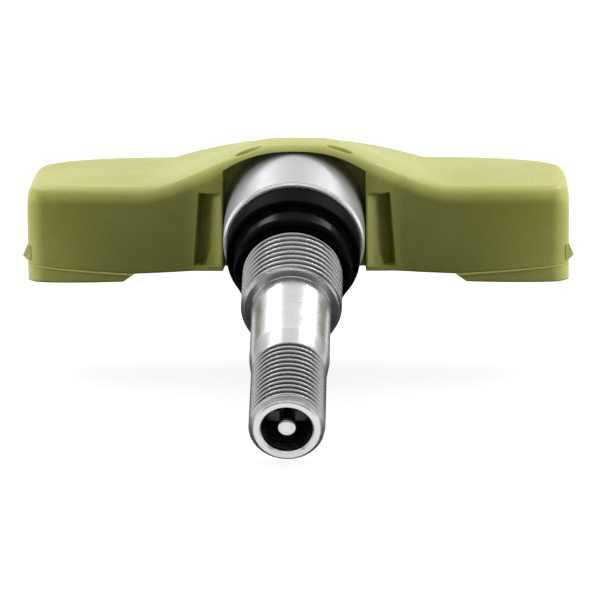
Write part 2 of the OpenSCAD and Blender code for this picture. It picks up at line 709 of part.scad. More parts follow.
// Head of the valve core: a threaded plug with a bridge and two ears that guide the pin
ear_w = 1.2;
bridge_t = 0.5;
module core_head() color([0.85, 0.8, 0.6]) in_frame() on_stem() difference() {
    bridge_w = ears_gap + 2 * ear_w;
    union() {
        difference() {
            translate([0, 0, plug_bottom]) cylinder(r = mouth_d / 2 - slide_gap, h = plug_l);
            translate([0, 0, plug_bottom - over])
                cylinder(d = core_d - 2 * core_wall, h = plug_l + 2 * over);
        }
        translate([-bridge_w / 2, -ear_w / 2, plug_top - bridge_t]) cube([bridge_w, ear_w, bridge_t]);
        for (side = [0, 1])
            translate([side * (ears_gap + ear_w) - bridge_w / 2, -ear_w / 2, plug_top - over])
                cube([ear_w, ear_w, ears_h + over]);
    }
    translate([0, 0, plug_bottom - over])
        cylinder(d = pin_d + 2 * slide_gap, h = plug_l + ears_h + 2 * over);
}

// Barrel of the valve core: a tube with a sealing rim, a flange over the gasket and a ledge for the spring
rim_l = 0.8;
rim_cone_l = 0.6;
flange_w = 0.7;
air_gap = 0.25;
module core_barrel() color([0.8, 0.7, 0.4]) in_frame() on_stem() difference() {
    turned([[0, core_bottom], [rim_r, core_bottom], [rim_r, core_bottom + rim_l],
            [core_d / 2, core_bottom + rim_l + rim_cone_l],
            [core_d / 2, gasket_top], [core_d / 2 + flange_w, gasket_top],
            [core_d / 2 + flange_w, gasket_top + flange_t],
            [core_d / 2, gasket_top + flange_t], [core_d / 2, plug_bottom], [0, plug_bottom]]);
    translate([0, 0, spring_ledge]) cylinder(d = core_d - 2 * core_wall, h = core_l);
    translate([0, 0, core_bottom - over]) cylinder(d = pin_d + 2 * air_gap, h = core_l);
}

// Sealing ring that the barrel's flange presses into the conical seat
module core_gasket() color([0.75, 0.2, 0.15]) in_frame() on_stem() {
    slope = (mouth_d - core_bore_d) / 2 / seat_l;
    r_low = core_bore_d / 2 + slope * gasket_lift - fit_gap;
    r_top = mouth_d / 2 - slope * fit_gap - 2 * fit_gap;
    turned([[core_d / 2 + fit_gap, gasket_bottom], [r_low, gasket_bottom],
            [r_top, seat_top], [r_top, gasket_top], [core_d / 2 + fit_gap, gasket_top]]);
}

// Pin with a button at the mouth, a flange over the spring and a stop under the cup
button_l = 0.7;
button_edge = 0.12;
module core_pin() color([0.9, 0.9, 0.88]) in_frame() on_stem() {
    top = stem_l - pin_depth;
    flange_r = core_d / 2 - core_wall - slide_gap;
    turned([[0, cup_bottom - tail_stop_l], [pin_d / 2 + tail_stop_w, cup_bottom - tail_stop_l],
            [pin_d / 2 + tail_stop_w, cup_bottom], [pin_d / 2, cup_bottom], [pin_d / 2, pin_flange_bottom],
            [flange_r, pin_flange_bottom], [flange_r, pin_flange_bottom + pin_flange_l],
            [pin_d / 2, pin_flange_bottom + pin_flange_l], [pin_d / 2, top - button_l],
            [pin_button_d / 2, top - button_l + button_edge], [pin_button_d / 2, top - button_edge],
            [pin_button_d / 2 - button_edge, top], [0, top]]);
}

module core_cup() color([0.8, 0.7, 0.4]) in_frame() on_stem() difference() {
    translate([0, 0, cup_bottom]) cylinder(r = seal_r + fit_gap + cup_wall, h = cup_top - cup_bottom);
    translate([0, 0, cup_bottom + cup_floor]) cylinder(r = seal_r + fit_gap, h = far);
    translate([0, 0, cup_bottom - over]) cylinder(r = pin_d / 2 + fit_gap, h = far);
}

module core_cup_seal() color([0.1, 0.1, 0.1]) in_frame() on_stem(core_bottom - seal_t) difference() {
    cylinder(r = seal_r, h = seal_t);
    translate([0, 0, -over]) cylinder(r = pin_d / 2 + fit_gap, h = seal_t + 2 * over);
}

// Helical spring between the barrel's ledge and the pin's flange
spring_r = (core_d / 2 - core_wall + pin_d / 2) / 2;
spring_l = pin_flange_bottom - spring_ledge - spring_wire;
wire_sides = 6;
turn_steps = 16;
function coil_point(t) = [spring_r * cos(360 * t), spring_r * sin(360 * t), spring_l * t / spring_turns];
function wire_ring(t) = let(c = coil_point(t)) [for (j = [0:wire_sides - 1])
    let(a = -360 * j / wire_sides, r = spring_r + spring_wire / 2 * cos(a))
    [r * cos(360 * t), r * sin(360 * t), c[2] + spring_wire / 2 * sin(a)]];
module core_spring() color([0.7, 0.7, 0.72]) in_frame() on_stem(spring_ledge + spring_wire / 2) {
    rings = [for (i = [0:spring_turns * turn_steps]) wire_ring(i / turn_steps)];
    polyhedron([for (r = rings) each r],
        concat(ring_faces(len(rings), wire_sides), end_faces(len(rings), wire_sides)), convexity = 20);
}

housing();
battery_cover();
electronics_cover();
valve_stem();
grommet();
core_head();
core_barrel();
core_gasket();
core_pin();
core_spring();
core_cup();
core_cup_seal();
battery();
battery_tab_positive();
battery_tab_negative();
circuit_board();
pressure_sensor();
controller_chip();
crystal();
chip_capacitors();
coil_core();
coil_winding();
loop_antenna();
port_gasket();
port_membrane();
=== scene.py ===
import json
import math

import bmesh
import bpy
import numpy as np
from mathutils import Matrix, Vector


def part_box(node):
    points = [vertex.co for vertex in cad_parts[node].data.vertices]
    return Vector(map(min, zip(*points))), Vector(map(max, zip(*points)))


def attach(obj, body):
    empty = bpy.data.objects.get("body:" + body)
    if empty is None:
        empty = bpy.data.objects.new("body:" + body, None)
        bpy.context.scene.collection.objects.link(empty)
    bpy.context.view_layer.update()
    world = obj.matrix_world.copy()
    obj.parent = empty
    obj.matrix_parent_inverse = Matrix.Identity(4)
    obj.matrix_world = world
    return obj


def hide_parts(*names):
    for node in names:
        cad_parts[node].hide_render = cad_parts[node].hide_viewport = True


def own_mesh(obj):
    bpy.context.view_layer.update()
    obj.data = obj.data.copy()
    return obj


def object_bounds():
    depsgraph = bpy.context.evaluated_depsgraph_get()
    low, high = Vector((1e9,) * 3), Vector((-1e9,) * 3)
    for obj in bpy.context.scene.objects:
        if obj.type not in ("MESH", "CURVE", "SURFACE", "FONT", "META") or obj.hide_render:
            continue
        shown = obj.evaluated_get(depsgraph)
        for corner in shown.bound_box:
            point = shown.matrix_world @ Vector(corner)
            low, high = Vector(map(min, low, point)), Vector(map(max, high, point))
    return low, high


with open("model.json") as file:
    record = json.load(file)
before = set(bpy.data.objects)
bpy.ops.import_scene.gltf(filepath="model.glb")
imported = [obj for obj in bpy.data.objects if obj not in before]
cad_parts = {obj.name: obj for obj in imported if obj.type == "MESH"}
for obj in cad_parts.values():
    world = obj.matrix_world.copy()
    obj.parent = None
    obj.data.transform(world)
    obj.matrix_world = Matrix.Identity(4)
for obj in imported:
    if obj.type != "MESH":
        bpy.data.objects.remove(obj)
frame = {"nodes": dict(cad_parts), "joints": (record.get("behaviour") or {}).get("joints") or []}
cadBox = [list(corner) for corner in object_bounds()]

# Shapes are written in millimetres from the collar's front centre: X right, Y back, Z up.
mm = 0.001
threadMiddle = 9.45                                  # where the frame's origin lies along the stem
inward = np.array(frame["joints"][0]["axis"])        # along the stem, from the mouth into the housing
outward = -inward
upNormal = np.array([0.0, outward[2], -outward[1]])  # square to the stem, in the middle plane
collarCentre = inward * threadMiddle


def toFrame(points):
    # millimetres from the collar's front centre to metres in the part's frame
    return (np.asarray(points, float) + collarCentre) * mm


def fromFrame(point):
    return np.asarray(point, float) / mm - collarCentre


def linear(red, green, blue):
    # a colour on a picture's 0..255 scale as linear light, by the sRGB curve
    parts = [c / 255 for c in (red, green, blue)]
    return tuple(c / 12.92 if c <= 0.04045 else ((c + 0.055) / 1.055) ** 2.4 for c in parts) + (1.0,)


def smoothStep(low, high, value):
    # 0 up to low, 1 from high, and between them 3 t squared less 2 t cubed
    t = np.clip((value - low) / (high - low), 0, 1)
    return t * t * (3 - 2 * t)


def roundCorner(fromEnd, radius):
    # setback of a quarter circle: radius less the root of radius squared less missing squared
    missing = np.clip(radius - fromEnd, 0, radius)
    return radius - np.sqrt(radius ** 2 - missing ** 2)


def spaced(*stops):
    # places along a line, from stops of (place, steps up to the next one)
    parts = [np.linspace(a[0], b[0], a[1], endpoint=False) for a, b in zip(stops[:-1], stops[1:])]
    return np.concatenate(parts + [[stops[-1][0]]])


# Meshes

def gridShell(points, wrapRows=False, wrapColumns=False):
    # quads over a grid of points; a wrapped direction joins its last line to its first
    rows, columns = points.shape[:2]
    index = np.arange(rows * columns).reshape(rows, columns)
    if wrapRows:
        index = np.vstack([index, index[:1]])
    if wrapColumns:
        index = np.hstack([index, index[:, :1]])
    quads = np.stack([index[:-1, :-1], index[:-1, 1:], index[1:, 1:], index[1:, :-1]], -1)
    return points.reshape(-1, 3), quads.reshape(-1, 4)


def outwardShell(shell):
    # turns a closed shell's faces outwards, by the sign of the volume that they enclose
    points, quads = shell
    a, b, c, d = (points[quads[:, k]] for k in range(4))
    volume = np.einsum("ij,ij->", a, np.cross(b, c)) + np.einsum("ij,ij->", a, np.cross(c, d))
    return points, (quads if volume > 0 else quads[:, ::-1])


def makePiece(name, shells, material, body="sensor", replaces=(), sharpFrom=35.0):
    shells = [outwardShell(shell) for shell in shells]
    starts = np.cumsum([0] + [len(shell[0]) for shell in shells])
    points = toFrame(np.concatenate([shell[0] for shell in shells]))
    quads = np.concatenate([shell[1] + start for shell, start in zip(shells, starts)])
    mesh = bpy.data.meshes.new(name)
    mesh.vertices.add(len(points))
    mesh.vertices.foreach_set("co", points.ravel())
    mesh.loops.add(quads.size)
    mesh.loops.foreach_set("vertex_index", quads.ravel().astype(np.int32))
    mesh.polygons.add(len(quads))
    mesh.polygons.foreach_set("loop_start", np.arange(0, quads.size, 4, dtype=np.int32))
    mesh.update(calc_edges=True)
    work = bmesh.new()
    work.from_mesh(mesh)
    bmesh.ops.remove_doubles(work, verts=work.verts, dist=2e-7)  # closes poles and seams
    work.to_mesh(mesh)
    work.free()
    mesh.validate()
    mesh.shade_smooth()
    mesh.set_sharp_from_angle(angle=math.radians(sharpFrom))
    mesh.materials.append(material)
    piece = bpy.data.objects.new(name, mesh)
    bpy.context.scene.collection.objects.link(piece)
    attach(piece, body)
    if replaces:
        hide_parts(*replaces)
    return piece


def alongProfile(*stops):
    # (radius, length) pairs on straight lines between stops of (radius, length, steps to the next)
    parts = []
    for a, b in zip(stops[:-1], stops[1:]):
        t = np.linspace(0, 1, a[2], endpoint=False)[:, None]
        parts.append(np.array(a[:2]) * (1 - t) + np.array(b[:2]) * t)
    return np.concatenate(parts + [[stops[-1][:2]]])


def turnedShell(profile, turns, cutAway=None, closed=False):
    # each (radius, length) of the profile swept round the stem: centre line at length, plus radius
    # times (cosine to the right, sine upwards); cutAway(angle, length, radius) comes off the radius
    radius, length = np.asarray(profile, float).T
    angle, length = np.meshgrid(np.linspace(0, 2 * np.pi, turns, endpoint=False), length)
    radius = np.repeat(radius[:, None], turns, 1)
    if cutAway is not None:
        radius = radius - cutAway(angle, length, radius)
    points = (radius * np.sin(angle))[..., None] * upNormal + length[..., None] * outward
    points[..., 0] += radius * np.cos(angle)
    return gridShell(points, wrapRows=closed, wrapColumns=True)


# Shader maths

class Wire:
    # one output of a node; + - * on it add Math nodes
    def __init__(self, paint, socket):
        self.paint = paint
        self.socket = socket

    def maths(self, kind, *values):
        return self.paint.add("ShaderNodeMath", {"operation": kind}, *values)

    def __add__(self, other):
        return self.maths("ADD", self, other)

    def __sub__(self, other):
        return self.maths("SUBTRACT", self, other)

    def __rsub__(self, other):
        return self.maths("SUBTRACT", other, self)

    def __mul__(self, other):
        return self.maths("MULTIPLY", self, other)

    __radd__ = __add__
    __rmul__ = __mul__


class Paint:
    # the nodes of one material or of the world
    def __init__(self, name, holder=None):
        self.holder = holder or bpy.data.materials.new(name)
        self.holder.use_nodes = True
        self.tree = self.holder.node_tree
        self.tree.nodes.clear()

    def feed(self, socket, value):
        if isinstance(value, Wire):
            self.tree.links.new(value.socket, socket)
        else:
            socket.default_value = value

    def add(self, kind, settings, *values, out=0, **named):
        # a node of that kind: its settings first, then the values or links of its sockets
        node = self.tree.nodes.new(kind)
        for key, value in settings.items():
            setattr(node, key, value)
        for socket, value in zip(node.inputs, values):
            self.feed(socket, value)
        for key, value in named.items():
            self.feed(node.inputs[key.replace("_", " ")], value)
        return Wire(self, node.outputs[out]) if node.outputs else None

    def place(self):
        # Object coordinates in millimetres from the frame's origin
        here = self.add("ShaderNodeTexCoord", {}, out=3)
        return self.add("ShaderNodeMapping", {}, here, (0, 0, 0), (0, 0, 0), (1 / mm,) * 3)

    def placeOnStem(self):
        # the same, turned so that Z runs along the stem and is 0 at the collar's front face
        here = self.add("ShaderNodeTexCoord", {}, out=3)
        turn = (math.atan2(outward[1], outward[2]), 0, 0)
        return self.add("ShaderNodeMapping", {}, here, (0, 0, threadMiddle), turn, (1 / mm,) * 3)

    def stretch(self, where, x, y, z):
        return self.add("ShaderNodeMapping", {}, where, (0, 0, 0), (0, 0, 0), (x, y, z))

    def part(self, where, index):
        return self.add("ShaderNodeSeparateXYZ", {}, where, out=index)

    def noise(self, where, scale, detail=2.0, rough=0.5):
        return self.add("ShaderNodeTexNoise", {}, Vector=where, Scale=scale, Detail=detail, Roughness=rough)

    def between(self, value, low, high, first=0.0, last=1.0):
        return self.add("ShaderNodeMapRange", {"interpolation_type": "SMOOTHSTEP"},
                        value, low, high, first, last)

    def spread(self, noise, first=0.0, last=1.0):
        # from the first value to the last over the range 0.3 to 0.7, where most of a noise lies
        return self.between(noise, 0.3, 0.7, first, last)

    def mix(self, share, first, second):
        node = self.tree.nodes.new("ShaderNodeMix")
        node.data_type = "RGBA"
        for place, value in ((0, share), (6, first), (7, second)):
            self.feed(node.inputs[place], value)
        return Wire(self, node.outputs[2])

    def rays(self, *kinds):
        # 1 for rays of those kinds
        path = self.tree.nodes.new("ShaderNodeLightPath")
        seen = Wire(self, path.outputs[kinds[0]])
        for kind in kinds[1:]:
            seen = seen.maths("MAXIMUM", seen, Wire(self, path.outputs[kind]))
        return seen

    def surface(self, bump=None, depth=0.0, **named):
        # the finished surface; bump is a height from 0 to 1 and depth its size in millimetres
        if bump is not None:
            named["Normal"] = self.add("ShaderNodeBump", {}, Strength=1.0, Distance=depth * mm, Height=bump)
        shader = self.add("ShaderNodeBsdfPrincipled", {}, **named)
        self.add("ShaderNodeOutputMaterial", {}, Surface=shader)
        return self.holder


plastic = {
    "colour": linear(168, 169, 77),
    "pale": linear(177, 179, 93),      # where the moulding has flowed thin
    "cover": linear(195, 195, 99),     # painted light: the covers are coloured lighter, for light from below on the feet
    "speckle": linear(148, 149, 67),   # pigment grains
    "ior": 1.47,
    "roughness": 0.4,
    "smoother": 0.03,                  # how much less and more than that, over the grain
    "rougher": 0.04,
    "grain": 4.0,                      # per millimetre
    "pores": 12.0,
    "grainDepth": 0.006,
    "grainShare": 0.7,                 # of the depth; the rest is pores
    "speckleRange": (0.5, 0.75),
    "flow": 0.12,
    "flowStretch": 0.6,                # draws the mottle out along the wings
    "flowRange": (0.35, 0.7),
}


def plasticPaint(name, colourName, speckled=0.55):
    # moulded satin: a broad flow mottle in the colour and a fine spark grain in the bump
    p = plastic
    paint = Paint(name)
    here = paint.place()
    flow = paint.noise(paint.stretch(here, p["flowStretch"], 1, 1), p["flow"], 3.0)
    grain = paint.noise(here, p["grain"])
    pores = paint.noise(here, p["pores"], 1.0)
    colour = paint.mix(paint.between(flow, *p["flowRange"]), p[colourName], p["pale"])
    colour = paint.mix(paint.between(grain, *p["speckleRange"], 0.0, speckled), colour, p["speckle"])
    rough = paint.spread(grain, p["roughness"] - p["smoother"], p["roughness"] + p["rougher"])
    return paint.surface(grain * p["grainShare"] + pores * (1 - p["grainShare"]), p["grainDepth"],
                         Base_Color=colour, Roughness=rough, IOR=p["ior"])


shankThread = {"start": 6.0, "end": 13.2, "pitch": 0.9, "depth": 0.36, "crestR": 5.25}
valveThread = {"start": 25.0, "end": 35.2, "pitch": 0.794, "depth": 0.36, "crestR": 3.85}
boreThread = {"start": 27.0, "end": 35.3, "pitch": 0.705, "depth": 0.3, "crestR": 2.6}
stemFinish = {
    "colour": (0.64, 0.64, 0.65, 1.0),
    "colourLow": (0.56, 0.56, 0.57, 1.0),
    "collar": (0.5, 0.5, 0.51, 1.0),
    "rim": (0.95, 0.95, 0.95, 1.0),    # the collar's front edge, painted near-white: a painted highlight
    # painted shade: the threaded zones are coloured darker than the plain stem
    "thread": (0.46, 0.46, 0.47, 1.0),
    "groove": (0.22, 0.22, 0.23, 1.0),  # painted shade in the threads' valleys
    "valve": (0.48, 0.48, 0.49, 1.0),  # the taper and the valve's thread, painted darker as shade
    "lip": (0.74, 0.74, 0.75, 1.0),    # the mouth's lip, painted lighter as a highlight
    "bore": (0.02, 0.02, 0.02, 1.0),   # the bore, painted near-black as the shade inside it
    "blasted": 0.5,                    # roughness of the collar behind its bright rim
    "bright": 0.29,                    # roughness of the rim and of all in front of it
    "blastedMetallic": 0.6,
    "brightMetallic": 0.86,
    "rimMetallic": 0.6,
    "lines": 7.0,                      # turning marks per millimetre
    "lineStretch": 0.02,               # draws them out round the stem
    "lineDepth": 0.0005,
    "spots": 1.1,
    "spotRange": (0.3, 0.75),
    "spotRough": (-0.03, 0.04),
    # two places along the stem, between which one finish passes into the next
    "blastEdge": (-0.34, -0.26),
    "collarEdge": (-0.26, -0.34),
    "rimBack": (-0.28, -0.22),
    "rimFront": (0.05, 0.0),
    "valveEdge": (22.7, 23.0),
    "lipEdge": (35.4, 35.5),
    "boreEdge": (9.0, 10.0),           # squares of the radius
    "valley": (0.03, 0.26),            # below a thread's crest
    "leadIn": (0.0, 0.3),              # after a thread's start
    "leadOut": (0.3, 0.5),             # before its end
}


def stemPaint():
    # turned aluminium: noise stretched round the axis makes the tool's fine lines. The collar is blasted
    # behind its rim, painted near-white as a highlight; threads, valve end and bore are painted darker as
    # shade, the lip lighter.
    f = stemFinish
    paint = Paint("turnedAluminium")
    here = paint.placeOnStem()
    rings = paint.noise(paint.stretch(here, f["lineStretch"], f["lineStretch"], 1), f["lines"], 3.0, 0.6)
    spots = paint.noise(here, f["spots"], 3.0)
    x, y, along = (paint.part(here, index) for index in range(3))
    radiusSquared = x * x + y * y
    onRimHighlight = paint.between(along, *f["rimBack"]) * paint.between(along, *f["rimFront"])
    rough = (paint.between(along, *f["blastEdge"], f["blasted"], f["bright"])
             + paint.between(spots, *f["spotRange"], *f["spotRough"]))
    metallic = (paint.between(along, *f["blastEdge"], f["blastedMetallic"], f["brightMetallic"])
                - onRimHighlight * (f["brightMetallic"] - f["rimMetallic"]))
    shade = paint.mix(paint.spread(rings), f["colourLow"], f["colour"])
    shade = paint.mix(paint.between(along, *f["collarEdge"]), shade, f["collar"])
    # painted highlight: the collar's front edge is coloured near-white
    shade = paint.mix(onRimHighlight, shade, f["rim"])
    # painted shade over the taper and the valve's thread
    shade = paint.mix(paint.between(along, *f["valveEdge"]), shade, f["valve"])
    # painted shade: each thread is darker, and its valleys darker still
    for thread in (shankThread, valveThread):
        deep = paint.between(radiusSquared, *((thread["crestR"] - below) ** 2 for below in f["valley"]))
        cut = (paint.between(along, *(thread["start"] + inside for inside in f["leadIn"]))
               * paint.between(along, *(thread["end"] - inside for inside in f["leadOut"])))
        shade = paint.mix(cut, shade, f["thread"])
        shade = paint.mix(cut * deep, shade, f["groove"])
    # painted shade: the bore is coloured near-black
    shade = paint.mix(paint.between(radiusSquared, *f["boreEdge"]), f["bore"], shade)
    # painted highlight: the mouth's lip is coloured lighter
    shade = paint.mix(paint.between(along, *f["lipEdge"]), shade, f["lip"])
    return paint.surface(rings, f["lineDepth"], Base_Color=shade, Metallic=metallic, Roughness=rough)


rubberFinish = {
    "colour": linear(5, 5, 8),
    "bloomed": linear(12, 12, 17),
    "ior": 1.1,
    "flange": 0.5,                     # roughness
    "nose": 0.17,
    "noseEdge": (2.7, 3.1),            # along the stem
    "bloom": 0.35,                     # per millimetre
    "bloomRange": (0.35, 0.75),
    "bloomRough": 0.06,
    "grain": 6.0,
    "grainDepth": 0.002,
}


def rubberPaint():
    # moulded rubber: nearly black with a faint bloom that comes and goes, and a shinier nose
    f = rubberFinish
    paint = Paint("blackRubber")
    here = paint.placeOnStem()
    bloom = paint.noise(here, f["bloom"], 3.0)
    grain = paint.noise(here, f["grain"])
    colour = paint.mix(paint.between(bloom, *f["bloomRange"]), f["colour"], f["bloomed"])
    rough = (paint.between(paint.part(here, 2), *f["noseEdge"], f["flange"], f["nose"])
             + paint.spread(bloom, 0.0, f["bloomRough"]))
    return paint.surface(grain, f["grainDepth"], Base_Color=colour, Roughness=rough, IOR=f["ior"])


def smallPaint(name, colour, roughness, metallic=0.0, grain=4.0, depth=0.004, uneven=0.12,
               smoother=0.08):
    # a small piece's finish over a fine grain: its colour, and patches that are darker and smoother
    paint = Paint(name)
    here = paint.place()
    patches = paint.noise(here, grain / 4)
    fine = paint.noise(here, grain)
    dark = tuple(c * (1 - uneven) for c in colour[:3]) + (1.0,)
    shade = paint.mix(paint.spread(patches), dark, colour)
    return paint.surface(fine, depth, Base_Color=shade, Metallic=metallic,
                         Roughness=paint.spread(patches, roughness, roughness + smoother))


olive = plasticPaint("olivePlastic", "colour")
# painted light: a lighter copy of the plastic for the covers, standing in for light from below
oliveCoverPaintedLit = plasticPaint("coverPlasticPaintedLit", "cover", 0.2)
aluminium = stemPaint()
rubber = rubberPaint()
print("finishes mixed")

# The housing

leftCover = [fromFrame(corner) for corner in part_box("battery_cover")]
rightCover = [fromFrame(corner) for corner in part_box("electronics_cover")]
housing = {
    "wingLeft": -leftCover[0][0],
    "wingRight": rightCover[1][0],
    "frontY": 3.2,                     # the wings' front, behind the collar's
    "rearY": fromFrame(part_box("housing")[1])[1],
    "wingTop": 5.35,
    "baseDrop": 3.84,                  # how low the underside lies at the feet
    "archDrop": 3.4,                   # and at the collar
    "archEdge": 8.0,
    "footInner": 17.1,
    "jointRise": 0.55,                 # of the covers' joint, up to the wing's end
    "saddleRise": 4.66,                # the ridge's height over the wings
    "saddleCrest": 2.0,
    "saddleFoot": 17.2,
    "saddleX": 0.3,
    "ridgeBack": 3.0,                  # how far back the ridge stays level
    "rearRise": 2.05,
    "rearFoot": 13.6,
    "creaseR": 1.8,                    # the rounded edge between front and crown
    "rearEdgeR": 1.5,
    "endEdgeR": 1.3,
    "frontCornerR": 1.8,
    "rearCornerR": 3.6,
    "sweepStart": 12.0,
    "frontSweep": 2.6,
    "rearSweep": 3.0,
    "wingFall": 0.36,                  # how much lower the crown is at the wing's end
    "hoodOut": 0.6,                    # how far the front stands out over the collar
    "hoodStart": 7.6,
    "hoodFoot": 11.6,
    "baseEdge": 0.06,
}
recess = {
    "halfWidth": 7.63,
    "backY": 5.4,
    "shoulderZ": 7.35,
    "roofZ": 9.42,
    "roofPower": 2.43,
    "edge": 0.14,
}
pocket = {
    "inner": 7.8,
    "outer": 10.2,
    "flare": 0.6,
    "low": -2.95,
    "high": 4.95,
    "depth": 1.7,
    "edge": 0.26,
    "leanEnd": 13.2,                   # up to here the mesh leans with the flared outer edge
    "gussetTop": 2.8,
    "gussetWidth": 1.5,
    "gussetCurve": 1.6,
    "gussetSunk": 0.25,                # its face lies this deep at the pillar
    "gussetSlope": 0.5,                # and falls by this share of the width
    "gussetFade": (0.2, -0.1),         # from its edge
}
ridgeSlot = {
    "x": 4.75,
    "down": 0.5,                       # from the crown's front line down the rounded edge
    "lean": 0.16,
    "length": 3.3,
    "width": 1.1,
    "depth": 0.38,
    "edge": 0.4,
    "grooveDepth": 0.05,               # the faint hollow that joins the two slots
    "grooveHalf": 3.6,
    "grooveFade": 1.0,
    "grooveWidth": 0.5,
}
nib = {"low": -2.95, "height": 1.6, "tip": 0.4, "out": 0.5, "length": 2.0, "y": 7.2, "sunk": 0.4,
       "taper": 0.9}


def reach(x):
    return np.where(x < 0, housing["wingLeft"], housing["wingRight"])


def planSweep(x):
    # how far a wing has swept in: the cube of the share of the way to its end
    start = housing["sweepStart"]
    return (np.maximum(0, np.abs(x) - start) / (reach(x) - start)) ** 3


def frontY(x):
    # front wall: the hood stands out over the collar, the wings sweep back and end in a round corner
    h = housing
    fromEnd = np.maximum(0, reach(x) - np.abs(x))
    hood = h["hoodOut"] * (1 - smoothStep(h["hoodStart"], h["hoodFoot"], np.abs(x)))
    return h["frontY"] - hood + h["frontSweep"] * planSweep(x) + roundCorner(fromEnd, h["frontCornerR"])


def rearY(x):
    h = housing
    fromEnd = np.maximum(0, reach(x) - np.abs(x))
    return h["rearY"] - h["rearSweep"] * planSweep(x) - roundCorner(fromEnd, h["rearCornerR"])


def crownZ(x, y):
    # the wings' level, plus a saddle that fades from the high ridge to a low crest at the rear
    h = housing
    aside = np.abs(x - h["saddleX"])
    front = h["saddleRise"] * (1 - smoothStep(h["saddleCrest"], h["saddleFoot"], aside))
    rear = h["rearRise"] * np.maximum(0, 1 - (x / h["rearFoot"]) ** 2)
    back = smoothStep(h["frontY"] + h["ridgeBack"], h["rearY"], y)
    fromEnd = np.maximum(0, reach(x) - np.abs(x))
    return (h["wingTop"] + front * (1 - back) + rear * back - h["wingFall"] * planSweep(x)
            - roundCorner(fromEnd, h["endEdgeR"]))


def baseZ(x):
    # the underside: flat at the collar, straight down to the feet, then rising along the joint
    h = housing
    run = np.clip((np.abs(x) - h["archEdge"]) / (h["footInner"] - h["archEdge"]), 0, 1)
    rise = h["jointRise"] * np.maximum(0, np.abs(x) - h["footInner"]) / (h["wingLeft"] - h["footInner"])
    return -h["archDrop"] - (h["baseDrop"] - h["archDrop"]) * run + rise


def roofZ(x):
    # the recess's roof: an arch that falls by a power of the distance from the middle
    r = recess
    return r["roofZ"] - (r["roofZ"] - r["shoulderZ"]) * (np.abs(x) / r["halfWidth"]) ** r["roofPower"]


def wingStations(end, inner, steps):
    # stations from inner to a wing's end, closing up by a sine over its round corner
    turn = end - housing["rearCornerR"]
    flat = np.linspace(inner, turn, steps)[1:]
    return np.concatenate([flat, turn + housing["rearCornerR"] * np.sin(np.linspace(0, np.pi / 2, 19)[1:])])


def housingStations():
    # close together at the slots, the recess, the pockets and the ends
    h, r, p, s = housing, recess, pocket, ridgeSlot
    half = spaced((0, 9), (s["x"] - s["length"] / 2, 30), (s["x"] + s["length"] / 2 + 0.3, 4),
                  (r["halfWidth"] - 0.23, 6), (r["halfWidth"] + 0.03, 2), (p["inner"], 14),
                  (p["outer"] - 0.25, 8), (p["outer"] + 0.1, 10), (p["leanEnd"], 9),
                  (h["footInner"], 0))[1:]
    left = np.concatenate([half, wingStations(h["wingLeft"], h["footInner"], 16)])
    right = np.concatenate([half, wingStations(h["wingRight"], h["footInner"], 16)])
    return np.concatenate([-left[::-1], [0], right])


def byWidth(width, values, at):
    # a value that depends on the distance from the middle, read at another distance
    order = width.argsort()
    return np.interp(at, width[order], values[order])


def closeEnds(rings):
    # flat ends: copies of the first and last ring shrink to their middles
    shrink = np.array([1, 0.97, 0.8, 0.4, 0.1, 0.03])[None, :, None]
    first, last = rings[:, :1], rings[:, -1:]
    first = first + ((first.max(0) + first.min(0)) / 2 - first) * shrink
    last = last + ((last.max(0) + last.min(0)) / 2 - last) * shrink[:, ::-1]
    return np.concatenate([first, rings, last], 1)


def slotDepth(width, down):
    # a lens between two equal arcs on either side of the ridge, and a faint hollow between the two
    s = ridgeSlot
    radius = (s["length"] ** 2 + s["width"] ** 2) / (4 * s["width"])
    halfLens = np.sqrt(np.maximum(0, radius ** 2 - (width - s["x"]) ** 2)) - radius + s["width"] / 2
    across = np.abs(down - s["down"] - s["lean"] * (width - s["x"]))
    hollow = ((1 - smoothStep(s["grooveHalf"] - s["grooveFade"], s["grooveHalf"], width))
              * (1 - smoothStep(0, s["grooveWidth"], across)))
    return np.maximum(s["depth"] * smoothStep(0, s["edge"], halfLens - across), s["grooveDepth"] * hollow)


